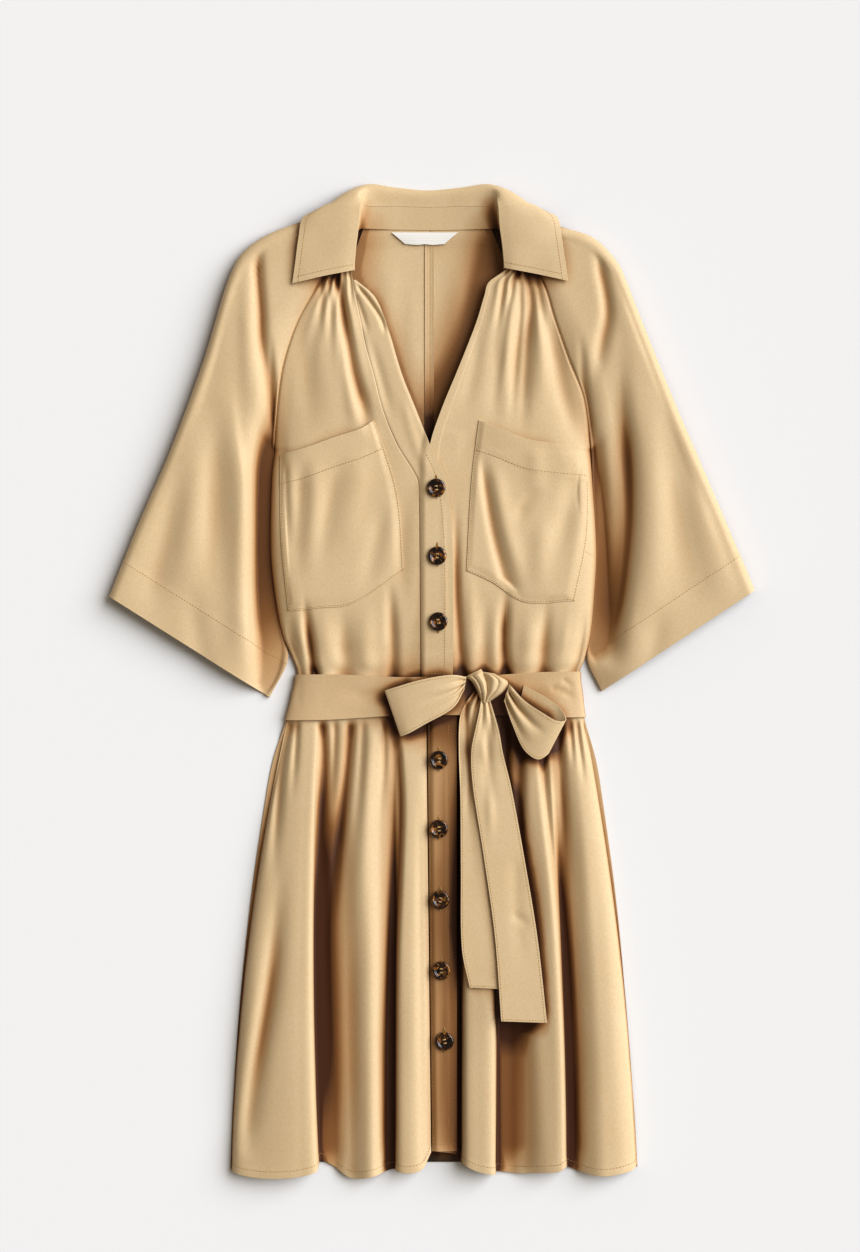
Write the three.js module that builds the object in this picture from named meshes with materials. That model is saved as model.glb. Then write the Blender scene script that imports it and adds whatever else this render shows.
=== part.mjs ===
// A short-sleeved raglan shirt dress in soft crepe, laid flat on its back with its belt tied in a bow.
// X runs across the dress, Y up towards the collar and Z up from the surface it lies on.
// Tables give places in millimetres: across (from the middle), down (from the top of the collar)
// and lift (height of the middle of the cloth above the surface). Left and right are the viewer's.
import * as THREE from 'three';

// Driving sizes
const dressLength = 956;
const wall = 1.6;
const seamGap = 0.5;
const layGap = 0.6;
const step = wall + layGap;
const half = wall / 2;
const centreBack = -2.5;
const underarmDown = 255;
const waistDown = 492;
const beltTop = 470;
const beltBottom = 514;
const beltWidths = { middle: 37, side: 44 };
const beltMiddles = { left: 494, right: 491 };
const bandHem = 930;
const bandEdge = 24;
const buttonDiameter = 17.7;
const buttonThickness = 3.2;
const buttonSides = 14;
const labelWall = 1;

const cloth = new THREE.MeshStandardMaterial({ color: 0xc8a878, roughness: 0.85, metalness: 0 });
const resin = new THREE.MeshStandardMaterial({ color: 0x3a2012, roughness: 0.3, metalness: 0 });
const satin = new THREE.MeshStandardMaterial({ color: 0xf2f0ec, roughness: 0.6, metalness: 0 });

// Outline of the body below the underarm: half widths on each side, and how high the front stands
const bodySections = [
  { down: 255, left: -152, right: 153, crown: 13 },
  { down: 285, left: -155, right: 155, crown: 14 },
  { down: 352, left: -156, right: 159, crown: 15 },
  { down: 394, left: -152, right: 157, crown: 15 },
  { down: 435, left: -144, right: 153, crown: 13 },
  { down: 458, left: -134, right: 147, crown: 10 },
  { down: 470, left: -130, right: 142, crown: 8.5 },
  { down: 492, left: -134, right: 144, crown: 7.5 },
  { down: 515, left: -140, right: 147, crown: 8 },
  { down: 554, left: -153, right: 158, crown: 10 },
  { down: 597, left: -161, right: 165, crown: 11 },
  { down: 686, left: -174, right: 177, crown: 12 },
  { down: 790, left: -185, right: 187, crown: 13 },
  { down: 894, left: -192, right: 195, crown: 14 },
  { down: 948, left: -194, right: 198, crown: 14 },
];

// Raglan seams from the neck to the underarm, on the front and on the back, with the front one's height
const raglanSections = [
  { down: 42, left: -77, right: 70, backLeft: -66, backRight: 57, lift: 8 },
  { down: 68, left: -93, right: 89, backLeft: -76, backRight: 68, lift: 9 },
  { down: 95, left: -108, right: 107, backLeft: -90, backRight: 82, lift: 9.5 },
  { down: 130, left: -128, right: 118, backLeft: -109, backRight: 101, lift: 10 },
  { down: 170, left: -142, right: 132, backLeft: -127, backRight: 120, lift: 10 },
  { down: 206, left: -148, right: 146, backLeft: -141, backRight: 138, lift: 8 },
  { down: 255, left: -152, right: 153, backLeft: -152, backRight: 153, lift: 3.2 },
];

// Rows that the pieces beside a raglan seam share, and the rows below the underarm
const raglanMarks = [42, 55, 68, 81, 95, 112, 130, 150, 170, 188, 206, 230, 243, 255];
const sideMarks = [263, 274, 290, 318, 352, 384, 410, 432, 447, 458, 470, 481];
const topRows = { front: 46, band: 93, back: 44.6 };
const rowGap = 3;

// Inner edges of the two fronts: neckline, opening and seams beside the button band
const openingSections = [
  { down: 42, leftSeam: -75, rightEdge: 68.5 },
  { down: 55, leftSeam: -78.3, rightEdge: 71.8 },
  { down: 81, leftSeam: -78, rightEdge: 72 },
  { down: 95, leftSeam: -75.5, rightEdge: 54.5 },
  { down: 107, leftSeam: -73.5, rightEdge: 50.5 },
  { down: 132, leftSeam: -68, rightEdge: 43 },
  { down: 157, leftSeam: -63, rightEdge: 33.5 },
  { down: 183, leftSeam: -56, rightEdge: 23 },
  { down: 217, leftSeam: -47, rightEdge: 9 },
  { down: 251, leftSeam: -33, rightEdge: -2 },
  { down: 283, leftSeam: -14, rightEdge: -4 },
  { down: 300, leftSeam: -12, rightEdge: -4 },
  { down: 492, leftSeam: -10, rightEdge: -4 },
];

// Outer edge of the button band above the waist
const bandSections = [
  { down: 92, edge: -74 },
  { down: 109, edge: -55 },
  { down: 137, edge: -43 },
  { down: 183, edge: -29 },
  { down: 217, edge: -15.5 },
  { down: 251, edge: -2 },
  { down: 285, edge: 13 },
  { down: 352, edge: 20 },
  { down: 492, edge: 20 },
];

// How the fronts rise from their edges: the crown from the shoulders to the bust, how far in from the
// edge it is reached, and how round the rise is (1 is a parabola, less is steeper at the edge)
const turnIn = 23;
const frontCrown = { top: 11, bust: 13, from: 60, run: 190 };
const frontReach = { shoulder: 60, side: 26, above: 60, run: 90 };
const frontRoundness = { shoulder: 1, side: 0.5, above: 40, run: 60 };

// Where the cloth lies over the belt's back run, and over the step of the button band
const beltRamp = { reach: 26, run: 20 };
const bandStep = { clear: 0.2, above: 228, run: 14, overlap: 9, ramp: 7, skirtRamp: 6 };

// Gathers on the fronts: where each starts across its panel, how high it stands and how far it runs
const leftGathers = [
  { at: 0.22, width: 0.05, height: 2.2, start: 80, end: 190 },
  { at: 0.42, width: 0.06, height: 3.6, start: 80, end: 240 },
  { at: 0.62, width: 0.05, height: 3.2, start: 80, end: 260 },
  { at: 0.84, width: 0.06, height: 3.8, start: 80, end: 235 },
  { at: 0.16, width: 0.05, height: 2.6, start: 470, end: 405 },
  { at: 0.34, width: 0.06, height: 2.0, start: 470, end: 418 },
  { at: 0.58, width: 0.07, height: 2.4, start: 470, end: 396 },
  { at: 0.82, width: 0.05, height: 1.6, start: 470, end: 424 },
];
const rightGathers = [
  { at: 0.2, width: 0.05, height: 2.8, start: 84, end: 190 },
  { at: 0.36, width: 0.05, height: 3.2, start: 84, end: 215 },
  { at: 0.56, width: 0.06, height: 4.2, start: 84, end: 262 },
  { at: 0.78, width: 0.06, height: 3.0, start: 84, end: 240 },
  { at: 0.46, width: 0.05, height: 2.0, start: 470, end: 398 },
  { at: 0.62, width: 0.06, height: 3.0, start: 470, end: 385 },
  { at: 0.8, width: 0.06, height: 2.2, start: 470, end: 410 },
  { at: 0.91, width: 0.04, height: 2.0, start: 470, end: 425 },
];

const gatherShape = { lead: 40, start: 10, spread: 0.5 };
const gatherHold = { side: 0.12, band: 0.08, rightSide: 0.1, underBand: 240, clear: 22, run: 14 };

// Fold lines of the skirt fronts, from the belt to the hem
const leftSkirtFolds = [
  { top: -138.9, hem: -193.2, down: 948, lift: 2.9, bow: -11 },
  { top: -136.4, hem: -189, down: 951, lift: 12, bow: -10 },
  { top: -128, hem: -162, down: 955, lift: 20, bow: -4 },
  { top: -116, hem: -127, down: 953, lift: 18, bow: -2 },
  { top: -109, hem: -108, down: 947, lift: 13, bow: -2 },
  { top: -104, hem: -102, down: 940, lift: 4.5, bow: -2 },
  { top: -99, hem: -96, down: 946, lift: 13, bow: -3 },
  { top: -84, hem: -76, down: 956, lift: 20, bow: -2 },
  { top: -62, hem: -55, down: 953, lift: 15, bow: 0 },
  { top: -50, hem: -46, down: 949, lift: 6, bow: 0 },
  { top: -41, hem: -34, down: 948, lift: 6, bow: 0 },
  { top: -36, hem: -30, down: 949, lift: 12, bow: 0 },
  { top: -24, hem: -18, down: 950, lift: 17, bow: 0 },
  { top: -13, hem: -7, down: 946, lift: 12.5, bow: 0 },
  { top: -5.5, hem: -1, down: 931, lift: 9, bow: 0 },
];
const rightSkirtFolds = [
  { top: 0, hem: 5, down: 931, lift: 6.6, bow: 0 },
  { top: 22, hem: 23, down: 934, lift: 6, bow: 0 },
  { top: 27, hem: 27, down: 940, lift: 6, bow: 0 },
  { top: 31, hem: 31, down: 942, lift: 13, bow: 0 },
  { top: 43, hem: 47, down: 948, lift: 19, bow: 0 },
  { top: 56, hem: 61, down: 951, lift: 16, bow: 1 },
  { top: 63, hem: 67, down: 951, lift: 9, bow: 2 },
  { top: 82, hem: 90, down: 952, lift: 17, bow: 3 },
  { top: 104, hem: 118, down: 949, lift: 17, bow: 4 },
  { top: 110, hem: 126, down: 947, lift: 11, bow: 4 },
  { top: 114, hem: 130, down: 943, lift: 4.5, bow: 4 },
  { top: 119, hem: 136, down: 948, lift: 13, bow: 4 },
  { top: 131, hem: 158, down: 953, lift: 20, bow: 6 },
  { top: 143.6, hem: 192, down: 948, lift: 12, bow: 8 },
  { top: 146.1, hem: 197.2, down: 944, lift: 2.9, bow: 8 },
];

const foldOpening = 2.2;
const upperSkirtRows = [waistDown + seamGap / 2, 503];
const skirtRows = [0, 0.03, 0.07, 0.13, 0.21, 0.32, 0.45, 0.6, 0.76, 0.9, 1];
const bandColumns = { bodice: [0, 0.16, 0.32, 0.55, 0.78, 1], skirt: [0, 0.18, 0.36, 0.6, 0.8, 1] };
const backSkirtRows = [waistDown + seamGap / 2, 512, 522, 532, 542, 554, 597, 686, 790, 894, 948];
const backHemCurve = { drop: 20, lean: 2 };
const neckRise = { lift: 1.7, down: 62, run: 16 };

// Sleeve outlines: the overarm fold from the neck to the cuff
const leftOverarm = [[-79, 29], [-100, 31], [-126, 37], [-163, 52], [-183, 68], [-194, 88], [-219, 169],
  [-252, 258], [-282, 327], [-310, 397]];
const rightOverarm = [[71, 29], [96, 31], [123, 41], [156, 53], [179, 77], [187, 95], [203, 136],
  [232, 208], [272, 301], [310, 391]];
// The underarm edge of each sleeve below the raglan seam, beside the body
const leftUnderarm = [[-156.8, 295], [-157.6, 352], [-153.8, 394], [-146, 435], [-141, 456], [-159, 494]];
const rightUnderarm = [[157, 295], [160.6, 352], [158.8, 394], [155, 435], [152, 456], [166, 488]];
const sleeveCrown = [9, 13, 16, 17, 17, 16, 15];
const sleeveRoll = { radius: 8, share: 0.35 };
const sleeveRise = 0.34;
const sleeveSteps = {
  front: [0, 0.04, 0.1, 0.18, 0.28, 0.4, 0.55, 0.72, 0.88],
  turn: [0, 0.22, 0.42, 0.6, 0.8, 1],
  back: [0.4, 0.75, 1],
  underarm: 8,
};
const raglanGap = { neck: 2.4, below: 1, run: 40 };

// Patch pockets: edges as they lie on the fronts
const leftPocket = {
  top: [[-146, 261], [-127, 256], [-96, 245], [-67, 235], [-56, 228]],
  right: [[-56, 228], [-44, 260], [-33, 299], [-27, 372]],
  bottom: [[-138, 411], [-108, 408], [-77, 404], [-27, 372]],
  left: [[-146, 261], [-145, 337], [-138, 411]],
};
const rightPocket = {
  top: [[45, 228], [64, 235], [92, 246], [120, 250], [149, 253]],
  right: [[149, 253], [149, 337], [137, 401]],
  bottom: [[33, 372], [57, 383], [88, 402], [137, 401]],
  left: [[45, 228], [38, 285], [33, 372]],
};
const pocketMouth = { lift: 2.5, reach: 0.35 };

// Collar leaf from its front end to the centre back, seen across from the stand seam to the outer edge
const collarSections = [
  { seam: [-75, 84, 15], top: [-84, 86, 16.6], turn: [-104, 90, 17],
    under: [-121, 94, 17], edge: [-134, 97, 16.4] },
  { seam: [-73, 62, 17], top: [-83, 64, 18], turn: [-102, 68, 18],
    under: [-119, 72, 17.8], edge: [-131, 75, 17] },
  { seam: [-70.5, 42, 18], top: [-81, 44, 19], turn: [-100, 47, 19],
    under: [-117, 50, 18], edge: [-128, 53, 17] },
  { seam: [-69, 22, 18], top: [-80, 24, 19], turn: [-99, 30, 18.5],
    under: [-114, 32.5, 17], edge: [-124, 34, 14] },
  { seam: [-68.5, 19, 17], top: [-76, 17, 17.6], turn: [-96, 21.5, 16.5],
    under: [-105, 23, 13.5], edge: [-110, 26.5, 7] },
  { seam: [-68, 16, 15], top: [-72, 10, 15], turn: [-92, 15.5, 11],
    under: [-91, 18.5, 3.5], edge: [-88, 23, 0.9] },
  { seam: [-64, 21, 9], top: [-63, 5, 9], turn: [-64, 0.9, 4.8],
    under: [-64, 5, 0.9], edge: [-64, 33, 0.9] },
  { seam: [-34, 21.5, 5.6], top: [-34, 7.5, 6], turn: [-34, 3.8, 3.4],
    under: [-34, 7.5, 0.8], edge: [-34, 38, 0.8] },
  { seam: [-4, 22.5, 5], top: [-4, 10, 5.4], turn: [-4, 6.4, 3.1],
    under: [-4, 10, 0.8], edge: [-4, 40, 0.8] },
];
const standSections = [
  { neck: [-74.6, 80, 10.4], top: [-72.6, 80, 14] },
  { neck: [-74.6, 62, 10], top: [-70.8, 62, 15] },
  { neck: [-71.5, 46, 8.5], top: [-67.5, 42, 15] },
  { neck: [-64, 42.5, 5], top: [-64, 25.2, 9] },
  { neck: [-34, 43.8, 3.1], top: [-34, 24.2, 5.6] },
  { neck: [-4, 44.2, 2.9], top: [-4, 24.9, 5] },
];
const collarMiddle = -4;
const collarRightReach = { scale: 1.035, drop: -2, from: 60, end: 84 };

// Bow, from the knot out to the turn of each loop and back beneath
const leftLoop = [
  { high: [33, 474, 17], low: [31, 486, 17] },
  { high: [20, 472, 22], low: [21, 503, 21] },
  { high: [-8, 476, 24], low: [-6, 519, 22] },
  { high: [-36, 484, 22], low: [-24, 529, 21] },
  { high: [-45, 487, 19], low: [-30, 531, 18] },
  { high: [-36, 485, 16.4], low: [-24, 529, 16.2] },
  { high: [-8, 478, 16.2], low: [-6, 517, 16.2] },
  { high: [20, 475, 16], low: [21, 500, 16] },
];
const rightLoop = [
  { high: [77, 482, 20], low: [70, 499, 19] },
  { high: [92, 491, 25], low: [77, 521, 21] },
  { high: [108, 503, 28], low: [90, 546, 22] },
  { high: [121, 515, 27], low: [102, 553, 21] },
  { high: [128, 517, 24], low: [112, 546, 19.5] },
  { high: [122, 505, 18], low: [108, 540, 15.4] },
  { high: [108, 493, 15], low: [96, 528, 13.8] },
  { high: [90, 485, 12.9], low: [82, 508, 12.9] },
];
const knot = {
  across: 52, down: 483, width: 38, height: 34, thickness: 12, lift: 18.7, turn: -0.35, sides: 14, rings: 8,
};
const narrowTail = [
  { down: 500, left: 31, right: 46, lift: 16.2 },
  { down: 521, left: 26, right: 42, lift: 15.6 },
  { down: 546, left: 25.5, right: 50, lift: 15.6 },
  { down: 589, left: 27, right: 60, lift: 0 },
  { down: 660, left: 27.5, right: 63, lift: 0 },
  { down: 735, left: 28.5, right: 64, lift: 0 },
  { down: 772, left: 36, right: 66, lift: 0 },
];
const wideTail = [
  { down: 503, left: 47, right: 58, lift: 20 },
  { down: 524, left: 42, right: 64, lift: 19 },
  { down: 546, left: 37.5, right: 68, lift: 18.5 },
  { down: 579, left: 39, right: 76, lift: 0 },
  { down: 644, left: 49, right: 88, lift: 0 },
  { down: 723, left: 60, right: 101, lift: 0 },
  { down: 804, left: 66, right: 110, lift: 0 },
];

const tailSlant = 1.5;
const tailClear = { reach: 5, lengthwise: 0.35 };

// Buttons on the band, from the top one down; one more lies hidden under the bow
const buttonPlaces = [
  { across: 4, down: 293 }, { across: 5, down: 358 }, { across: 6, down: 421 }, { across: 6.5, down: 554 },
  { across: 6.5, down: 620 }, { across: 8, down: 688 }, { across: 9, down: 756 }, { across: 12, down: 824 },
];

// Section of a button, as shares of its radius and its thickness
const buttonSection = [[0, 0], [0.8, 0], [1, 0.45], [0.9, 1], [0.68, 0.86], [0, 0.62]];
const buttonClear = 0.5;

// Corners of the neck label
const labelCorners = {
  top: { left: -39, right: 25, down: 46.5 },
  bottom: { left: -26, right: 12, down: 57.5 },
};

const group = new THREE.Group();

function place(across, down, lift) {
  return new THREE.Vector3(across, dressLength / 2 - down, lift);
}

function mix(a, b, t) {
  return a + (b - a) * t;
}

function ease(t) {
  const s = Math.min(1, Math.max(0, t));
  return s * s * (3 - 2 * s);
}

function bump(value, centre, width) {
  return Math.exp(-(((value - centre) / width) ** 2));
}

// Smooth value of one column of a table at a given distance down
function column(rows, name, down) {
  if (down <= rows[0].down) return rows[0][name];
  const last = rows.length - 1;
  if (down >= rows[last].down) return rows[last][name];
  const i = rows.findIndex((row, n) => down < rows[n + 1].down);
  const slope = (n) => {
    const a = rows[Math.max(0, n - 1)];
    const b = rows[Math.min(last, n + 1)];
    return (b[name] - a[name]) / (b.down - a.down);
  };
  const span = rows[i + 1].down - rows[i].down;
  const t = (down - rows[i].down) / span;
  const a = rows[i][name];
  const b = rows[i + 1][name];
  const from = slope(i) * span;
  const to = slope(i + 1) * span;
  return a + t * (from + t * (3 * (b - a) - 2 * from - to + t * (2 * (a - b) + from + to)));
}

function curveOf(points) {
  return new THREE.CatmullRomCurve3(points, false, 'centripetal');
}

function flatCurve(pairs) {
  return curveOf(pairs.map(([across, down]) => new THREE.Vector3(across, down, 0)));
}

// Steps from 0 to 1, closer together at the start, the end or both
function steps(count, tightStart = 0, tightEnd = 0) {
  return Array.from({ length: count + 1 }, (_, i) => {
    const t = i / count;
    const start = t - (tightStart * Math.sin(2 * Math.PI * t)) / (2 * Math.PI);
    if (tightStart && tightEnd) return start;
    if (tightStart) return mix(t, 1 - Math.cos((Math.PI * t) / 2), tightStart);
    if (tightEnd) return mix(t, Math.sin((Math.PI * t) / 2), tightEnd);
    return t;
  });
}

// A closed wall of cloth through a grid of middle points
function sheet(name, grid, options = {}) {
  const { thickness = wall, ring = false, material = cloth } = options;
  const rows = grid.length;
  const columns = grid[0].length;
  const at = (i, j) => grid[ring ? (i + rows) % rows : Math.min(rows - 1, Math.max(0, i))][
    Math.min(columns - 1, Math.max(0, j))];
  const positions = [];
  for (const side of [1, -1]) {
    for (let i = 0; i < rows; i += 1) {
      for (let j = 0; j < columns; j += 1) {
        const along = at(i + 1, j).clone().sub(at(i - 1, j));
        const over = at(i, j + 1).clone().sub(at(i, j - 1));
        const normal = along.cross(over).normalize();
        const point = at(i, j).clone().addScaledVector(normal, (side * thickness) / 2);
        positions.push(point.x, point.y, point.z);
      }
    }
  }
  const index = [];
  const id = (side, i, j) => side * rows * columns + (i % rows) * columns + j;
  const quad = (a, b, c, d) => index.push(a, b, c, a, c, d);
  const lastRow = ring ? rows : rows - 1;
  for (let i = 0; i < lastRow; i += 1) {
    for (let j = 0; j < columns - 1; j += 1) {
      quad(id(0, i, j), id(0, i + 1, j), id(0, i + 1, j + 1), id(0, i, j + 1));
      quad(id(1, i, j), id(1, i, j + 1), id(1, i + 1, j + 1), id(1, i + 1, j));
    }
    quad(id(0, i, 0), id(1, i, 0), id(1, i + 1, 0), id(0, i + 1, 0));
    const end = columns - 1;
    quad(id(0, i, end), id(0, i + 1, end), id(1, i + 1, end), id(1, i, end));
  }
  if (!ring) {
    for (let j = 0; j < columns - 1; j += 1) {
      quad(id(0, 0, j), id(0, 0, j + 1), id(1, 0, j + 1), id(1, 0, j));
      const end = rows - 1;
      quad(id(0, end, j), id(1, end, j), id(1, end, j + 1), id(0, end, j + 1));
    }
  }
  const geometry = new THREE.BufferGeometry();
  geometry.setAttribute('position', new THREE.Float32BufferAttribute(positions, 3));
  geometry.setIndex(volume(positions, index) < 0 ? flipped(index) : index);
  return addMesh(name, geometry, material);
}

function volume(positions, index) {
  const corner = (n) => new THREE.Vector3().fromArray(positions, index[n] * 3);
  let sum = 0;
  for (let n = 0; n < index.length; n += 3) sum += corner(n).dot(corner(n + 1).cross(corner(n + 2)));
  return sum;
}

function flipped(index) {
  const turned = [];
  for (let n = 0; n < index.length; n += 3) turned.push(index[n], index[n + 2], index[n + 1]);
  return turned;
}

function addMesh(name, geometry, material) {
  geometry.computeVertexNormals();
  const mesh = new THREE.Mesh(geometry, material);
  mesh.name = name;
  group.add(mesh);
  return mesh;
}

// A smooth grid through a table of control points
function loft(controls, rowSteps, columnSteps) {
  const across = controls.map((row) => curveOf(row));
  return rowSteps.map((v) => columnSteps.map((u) => curveOf(across.map((c) => c.getPoint(u))).getPoint(v)));
}

// The height that the belt's back run gives to what lies over it
function beltRise(down) {
  const above = ease((down - (beltTop - beltRamp.reach)) / beltRamp.run);
  const below = ease((beltBottom + beltRamp.reach - down) / beltRamp.run);
  return step * above * below;
}

// The side of the body, or the raglan seam above the underarm, in straight stretches between shared rows
function outerEdge(side, down) {
  if (down >= underarmDown) return column(bodySections, side.replace('back', '').toLowerCase(), down);
  const n = Math.max(0, raglanMarks.findIndex((mark, i) => down < raglanMarks[i + 1]));
  const t = (down - raglanMarks[n]) / (raglanMarks[n + 1] - raglanMarks[n]);
  const [above, below] = [raglanMarks[n], raglanMarks[n + 1]].map((mark) => column(raglanSections, side, mark));
  return mix(above, below, t);
}

// The edge of a front, drawn in by half the wall where it turns down at the side
function frontEdge(side, down) {
  const inset = half * ease((down - (underarmDown - turnIn)) / turnIn);
  return outerEdge(side, down) + (side === 'left' ? inset : -inset);
}

function edgeLift(down) {
  const seam = half + step;
  if (down < underarmDown) return Math.max(seam, column(raglanSections, 'lift', down));
  return seam + beltRise(down);
}

// Height of the fronts' cloth at a place on the bodice, before gathers
function frontLift(across, down) {
  const left = across - frontEdge('left', down);
  const right = frontEdge('right', down) - across;
  const inside = Math.max(0, Math.min(left, right));
  const low = edgeLift(down);
  const { top, bust, from, run } = frontCrown;
  const upperCrown = mix(top, bust, ease((down - from) / run));
  const crown = down < underarmDown ? upperCrown : column(bodySections, 'crown', down);
  const below = (settings) => ease((down - underarmDown + settings.above) / settings.run);
  const reach = mix(frontReach.shoulder, frontReach.side, below(frontReach));
  const power = mix(frontRoundness.shoulder, frontRoundness.side, below(frontRoundness));
  const s = Math.min(1, inside / reach);
  return low + Math.max(0, crown + beltRise(down) / 2 - low) * (s * (2 - s)) ** power;
}

function gatherLift(gathers, u, down) {
  let lift = 0;
  for (const gather of gathers) {
    const run = Math.abs(gather.end - gather.start);
    const gone = gather.end > gather.start ? down - gather.start : gather.start - down;
    if (gone < -gatherShape.lead || gone > run) continue;
    const start = gather.start > underarmDown ? ease(gone / gatherShape.start) : 1;
    const spread = gather.width * (1 + (gatherShape.spread * Math.max(0, gone)) / run);
    lift += gather.height * start * (1 - ease(gone / run)) * bump(u, gather.at, spread);
  }
  return lift;
}

function leftFront(across, down) {
  const left = outerEdge('left', down);
  const right = column(openingSections, 'leftSeam', down);
  const u = (across - left) / (right - left);
  const hold = ease(u / gatherHold.side) * ease((1 - u) / gatherHold.band);
  return frontLift(across, down) + gatherLift(leftGathers, u, down) * hold;
}

function rightFront(across, down) {
  const left = column(openingSections, 'rightEdge', down);
  const right = outerEdge('right', down);
  const u = (across - left) / (right - left);
  const besideBand = ease((across - gatherHold.clear) / gatherHold.run);
  const hold = down > gatherHold.underBand ? besideBand : ease(u / gatherHold.side);
  return frontLift(across, down)
    + gatherLift(rightGathers, u, down) * hold * ease((1 - u) / gatherHold.rightSide);
}

function frontGrid(lefts, rights, surface, rowDowns, columnSteps) {
  return rowDowns.map((down) => columnSteps.map((u) => {
    const across = mix(lefts(down), rights(down), u);
    return place(across, down, surface(across, down));
  }));
}

function bodiceRows(from) {
  const marks = [...raglanMarks, ...sideMarks].filter((down) => down > from + rowGap);
  return [from, ...marks, waistDown - seamGap / 2];
}

function frontBodices() {
  const inset = seamGap / 2;
  sheet('front_bodice_left', frontGrid(
    (down) => frontEdge('left', down) + inset,
    (down) => column(openingSections, 'leftSeam', down) - inset,
    leftFront, bodiceRows(topRows.front), steps(15, 0.7)));
  sheet('front_bodice_right', frontGrid(
    (down) => column(openingSections, 'rightEdge', down),
    (down) => frontEdge('right', down) - inset,
    rightFront, bodiceRows(topRows.front), steps(16, 0, 0.7)));
}

// The button band lies over the right front's edge below the opening
function bandLift(across, down) {
  const under = column(openingSections, 'rightEdge', down);
  const over = ease((across - under + bandStep.overlap) / bandStep.ramp);
  const below = ease((down - bandStep.above) / bandStep.run);
  return frontLift(across, down) + (step + bandStep.clear) * over * below;
}

function bodiceBand() {
  const left = (down) => column(openingSections, 'leftSeam', down) + seamGap / 2;
  const right = (down) => Math.max(left(down) + 1.5, column(bandSections, 'edge', down));
  const rows = bodiceRows(topRows.band);
  sheet('button_band_bodice', frontGrid(left, right, bandLift, rows, bandColumns.bodice));
}

// How far the folds have opened, from 0 at the belt to 1 at the hem
function opened(v) {
  return 1 - (1 - v) ** foldOpening;
}

// A point of the skirt on one fold line, v of the way from the belt to the hem
function skirtPoint(fold, v) {
  const across = mix(fold.top, fold.hem, v) + fold.bow * 4 * v * (1 - v);
  const down = mix(beltBottom, fold.down, v);
  const onSideSeam = fold === leftSkirtFolds[0] || fold === rightSkirtFolds.at(-1);
  const lift = onSideSeam ? edgeLift(down) : mix(frontLift(fold.top, beltBottom), fold.lift, opened(v));
  return place(across, down, lift);
}

// The same point above the belt's lower edge, where the skirt narrows towards the waist
function waistPoint(fold, down) {
  const side = fold.top < 0 ? 'left' : 'right';
  const across = (fold.top * outerEdge(side, down)) / outerEdge(side, beltBottom);
  return place(across, down, frontLift(across, down));
}

function skirtGrid(folds, columnSteps) {
  const upper = upperSkirtRows.map((down) => folds.map((fold) => waistPoint(fold, down)));
  const lower = skirtRows.map((v) => folds.map((fold) => skirtPoint(fold, v)));
  return [...upper, ...lower].map((row) => {
    const line = curveOf(row);
    return columnSteps.map((u) => line.getPoint(u));
  });
}

const leftSkirt = skirtGrid(leftSkirtFolds, steps(32));
const rightSkirt = skirtGrid(rightSkirtFolds, steps(32));

function skirtFronts() {
  sheet('skirt_front_left', leftSkirt);
  sheet('skirt_front_right', rightSkirt);
}

// The left edge of the button band below the waist, and the height of the skirt that it is sewn to
function skirtBandSeam(down) {
  const seam = leftSkirtFolds.at(-1);
  const v = Math.max(0, (down - beltBottom) / (seam.down - beltBottom));
  const lift = mix(frontLift(0, beltBottom), seam.lift, opened(v));
  return { across: mix(seam.top, seam.hem, v) + seamGap + layGap, lift };
}

function skirtBand() {
  const rows = [...upperSkirtRows, ...skirtRows.map((v) => mix(beltBottom, bandHem, v))];
  const grid = rows.map((down) => {
    const seam = skirtBandSeam(down);
    return bandColumns.skirt.map((u) => {
      const across = mix(seam.across, bandEdge, u);
      const base = down < beltBottom ? frontLift(across, down) : seam.lift;
      return place(across, down, base + step * ease((across - seam.across) / bandStep.skirtRamp));
    });
  });
  sheet('button_band_skirt', grid);
}

// Back pieces lie flat on the surface
function backLift(across, down) {
  return half + beltRise(down) + neckRise.lift * ease((neckRise.down - down) / neckRise.run);
}

function backBodices() {
  const rows = bodiceRows(topRows.back);
  sheet('back_bodice_left', frontGrid((down) => outerEdge('backLeft', down) + seamGap / 2,
    () => centreBack - seamGap / 2, backLift, rows, steps(3)));
  sheet('back_bodice_right', frontGrid(() => centreBack + seamGap / 2,
    (down) => outerEdge('backRight', down) - seamGap / 2, backLift, rows, steps(3)));
}

function backSkirt() {
  const grid = backSkirtRows.map((down) => steps(10).map((u) => {
    const across = mix(column(bodySections, 'left', down), column(bodySections, 'right', down), u);
    const curve = backHemCurve.drop * (1 - (2 * u - 1) ** 2) + backHemCurve.lean * u;
    const raise = down === backSkirtRows.at(-1) ? curve : 0;
    return place(across, down - raise, backLift(across, down));
  }));
  sheet('skirt_back', grid);
}

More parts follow.
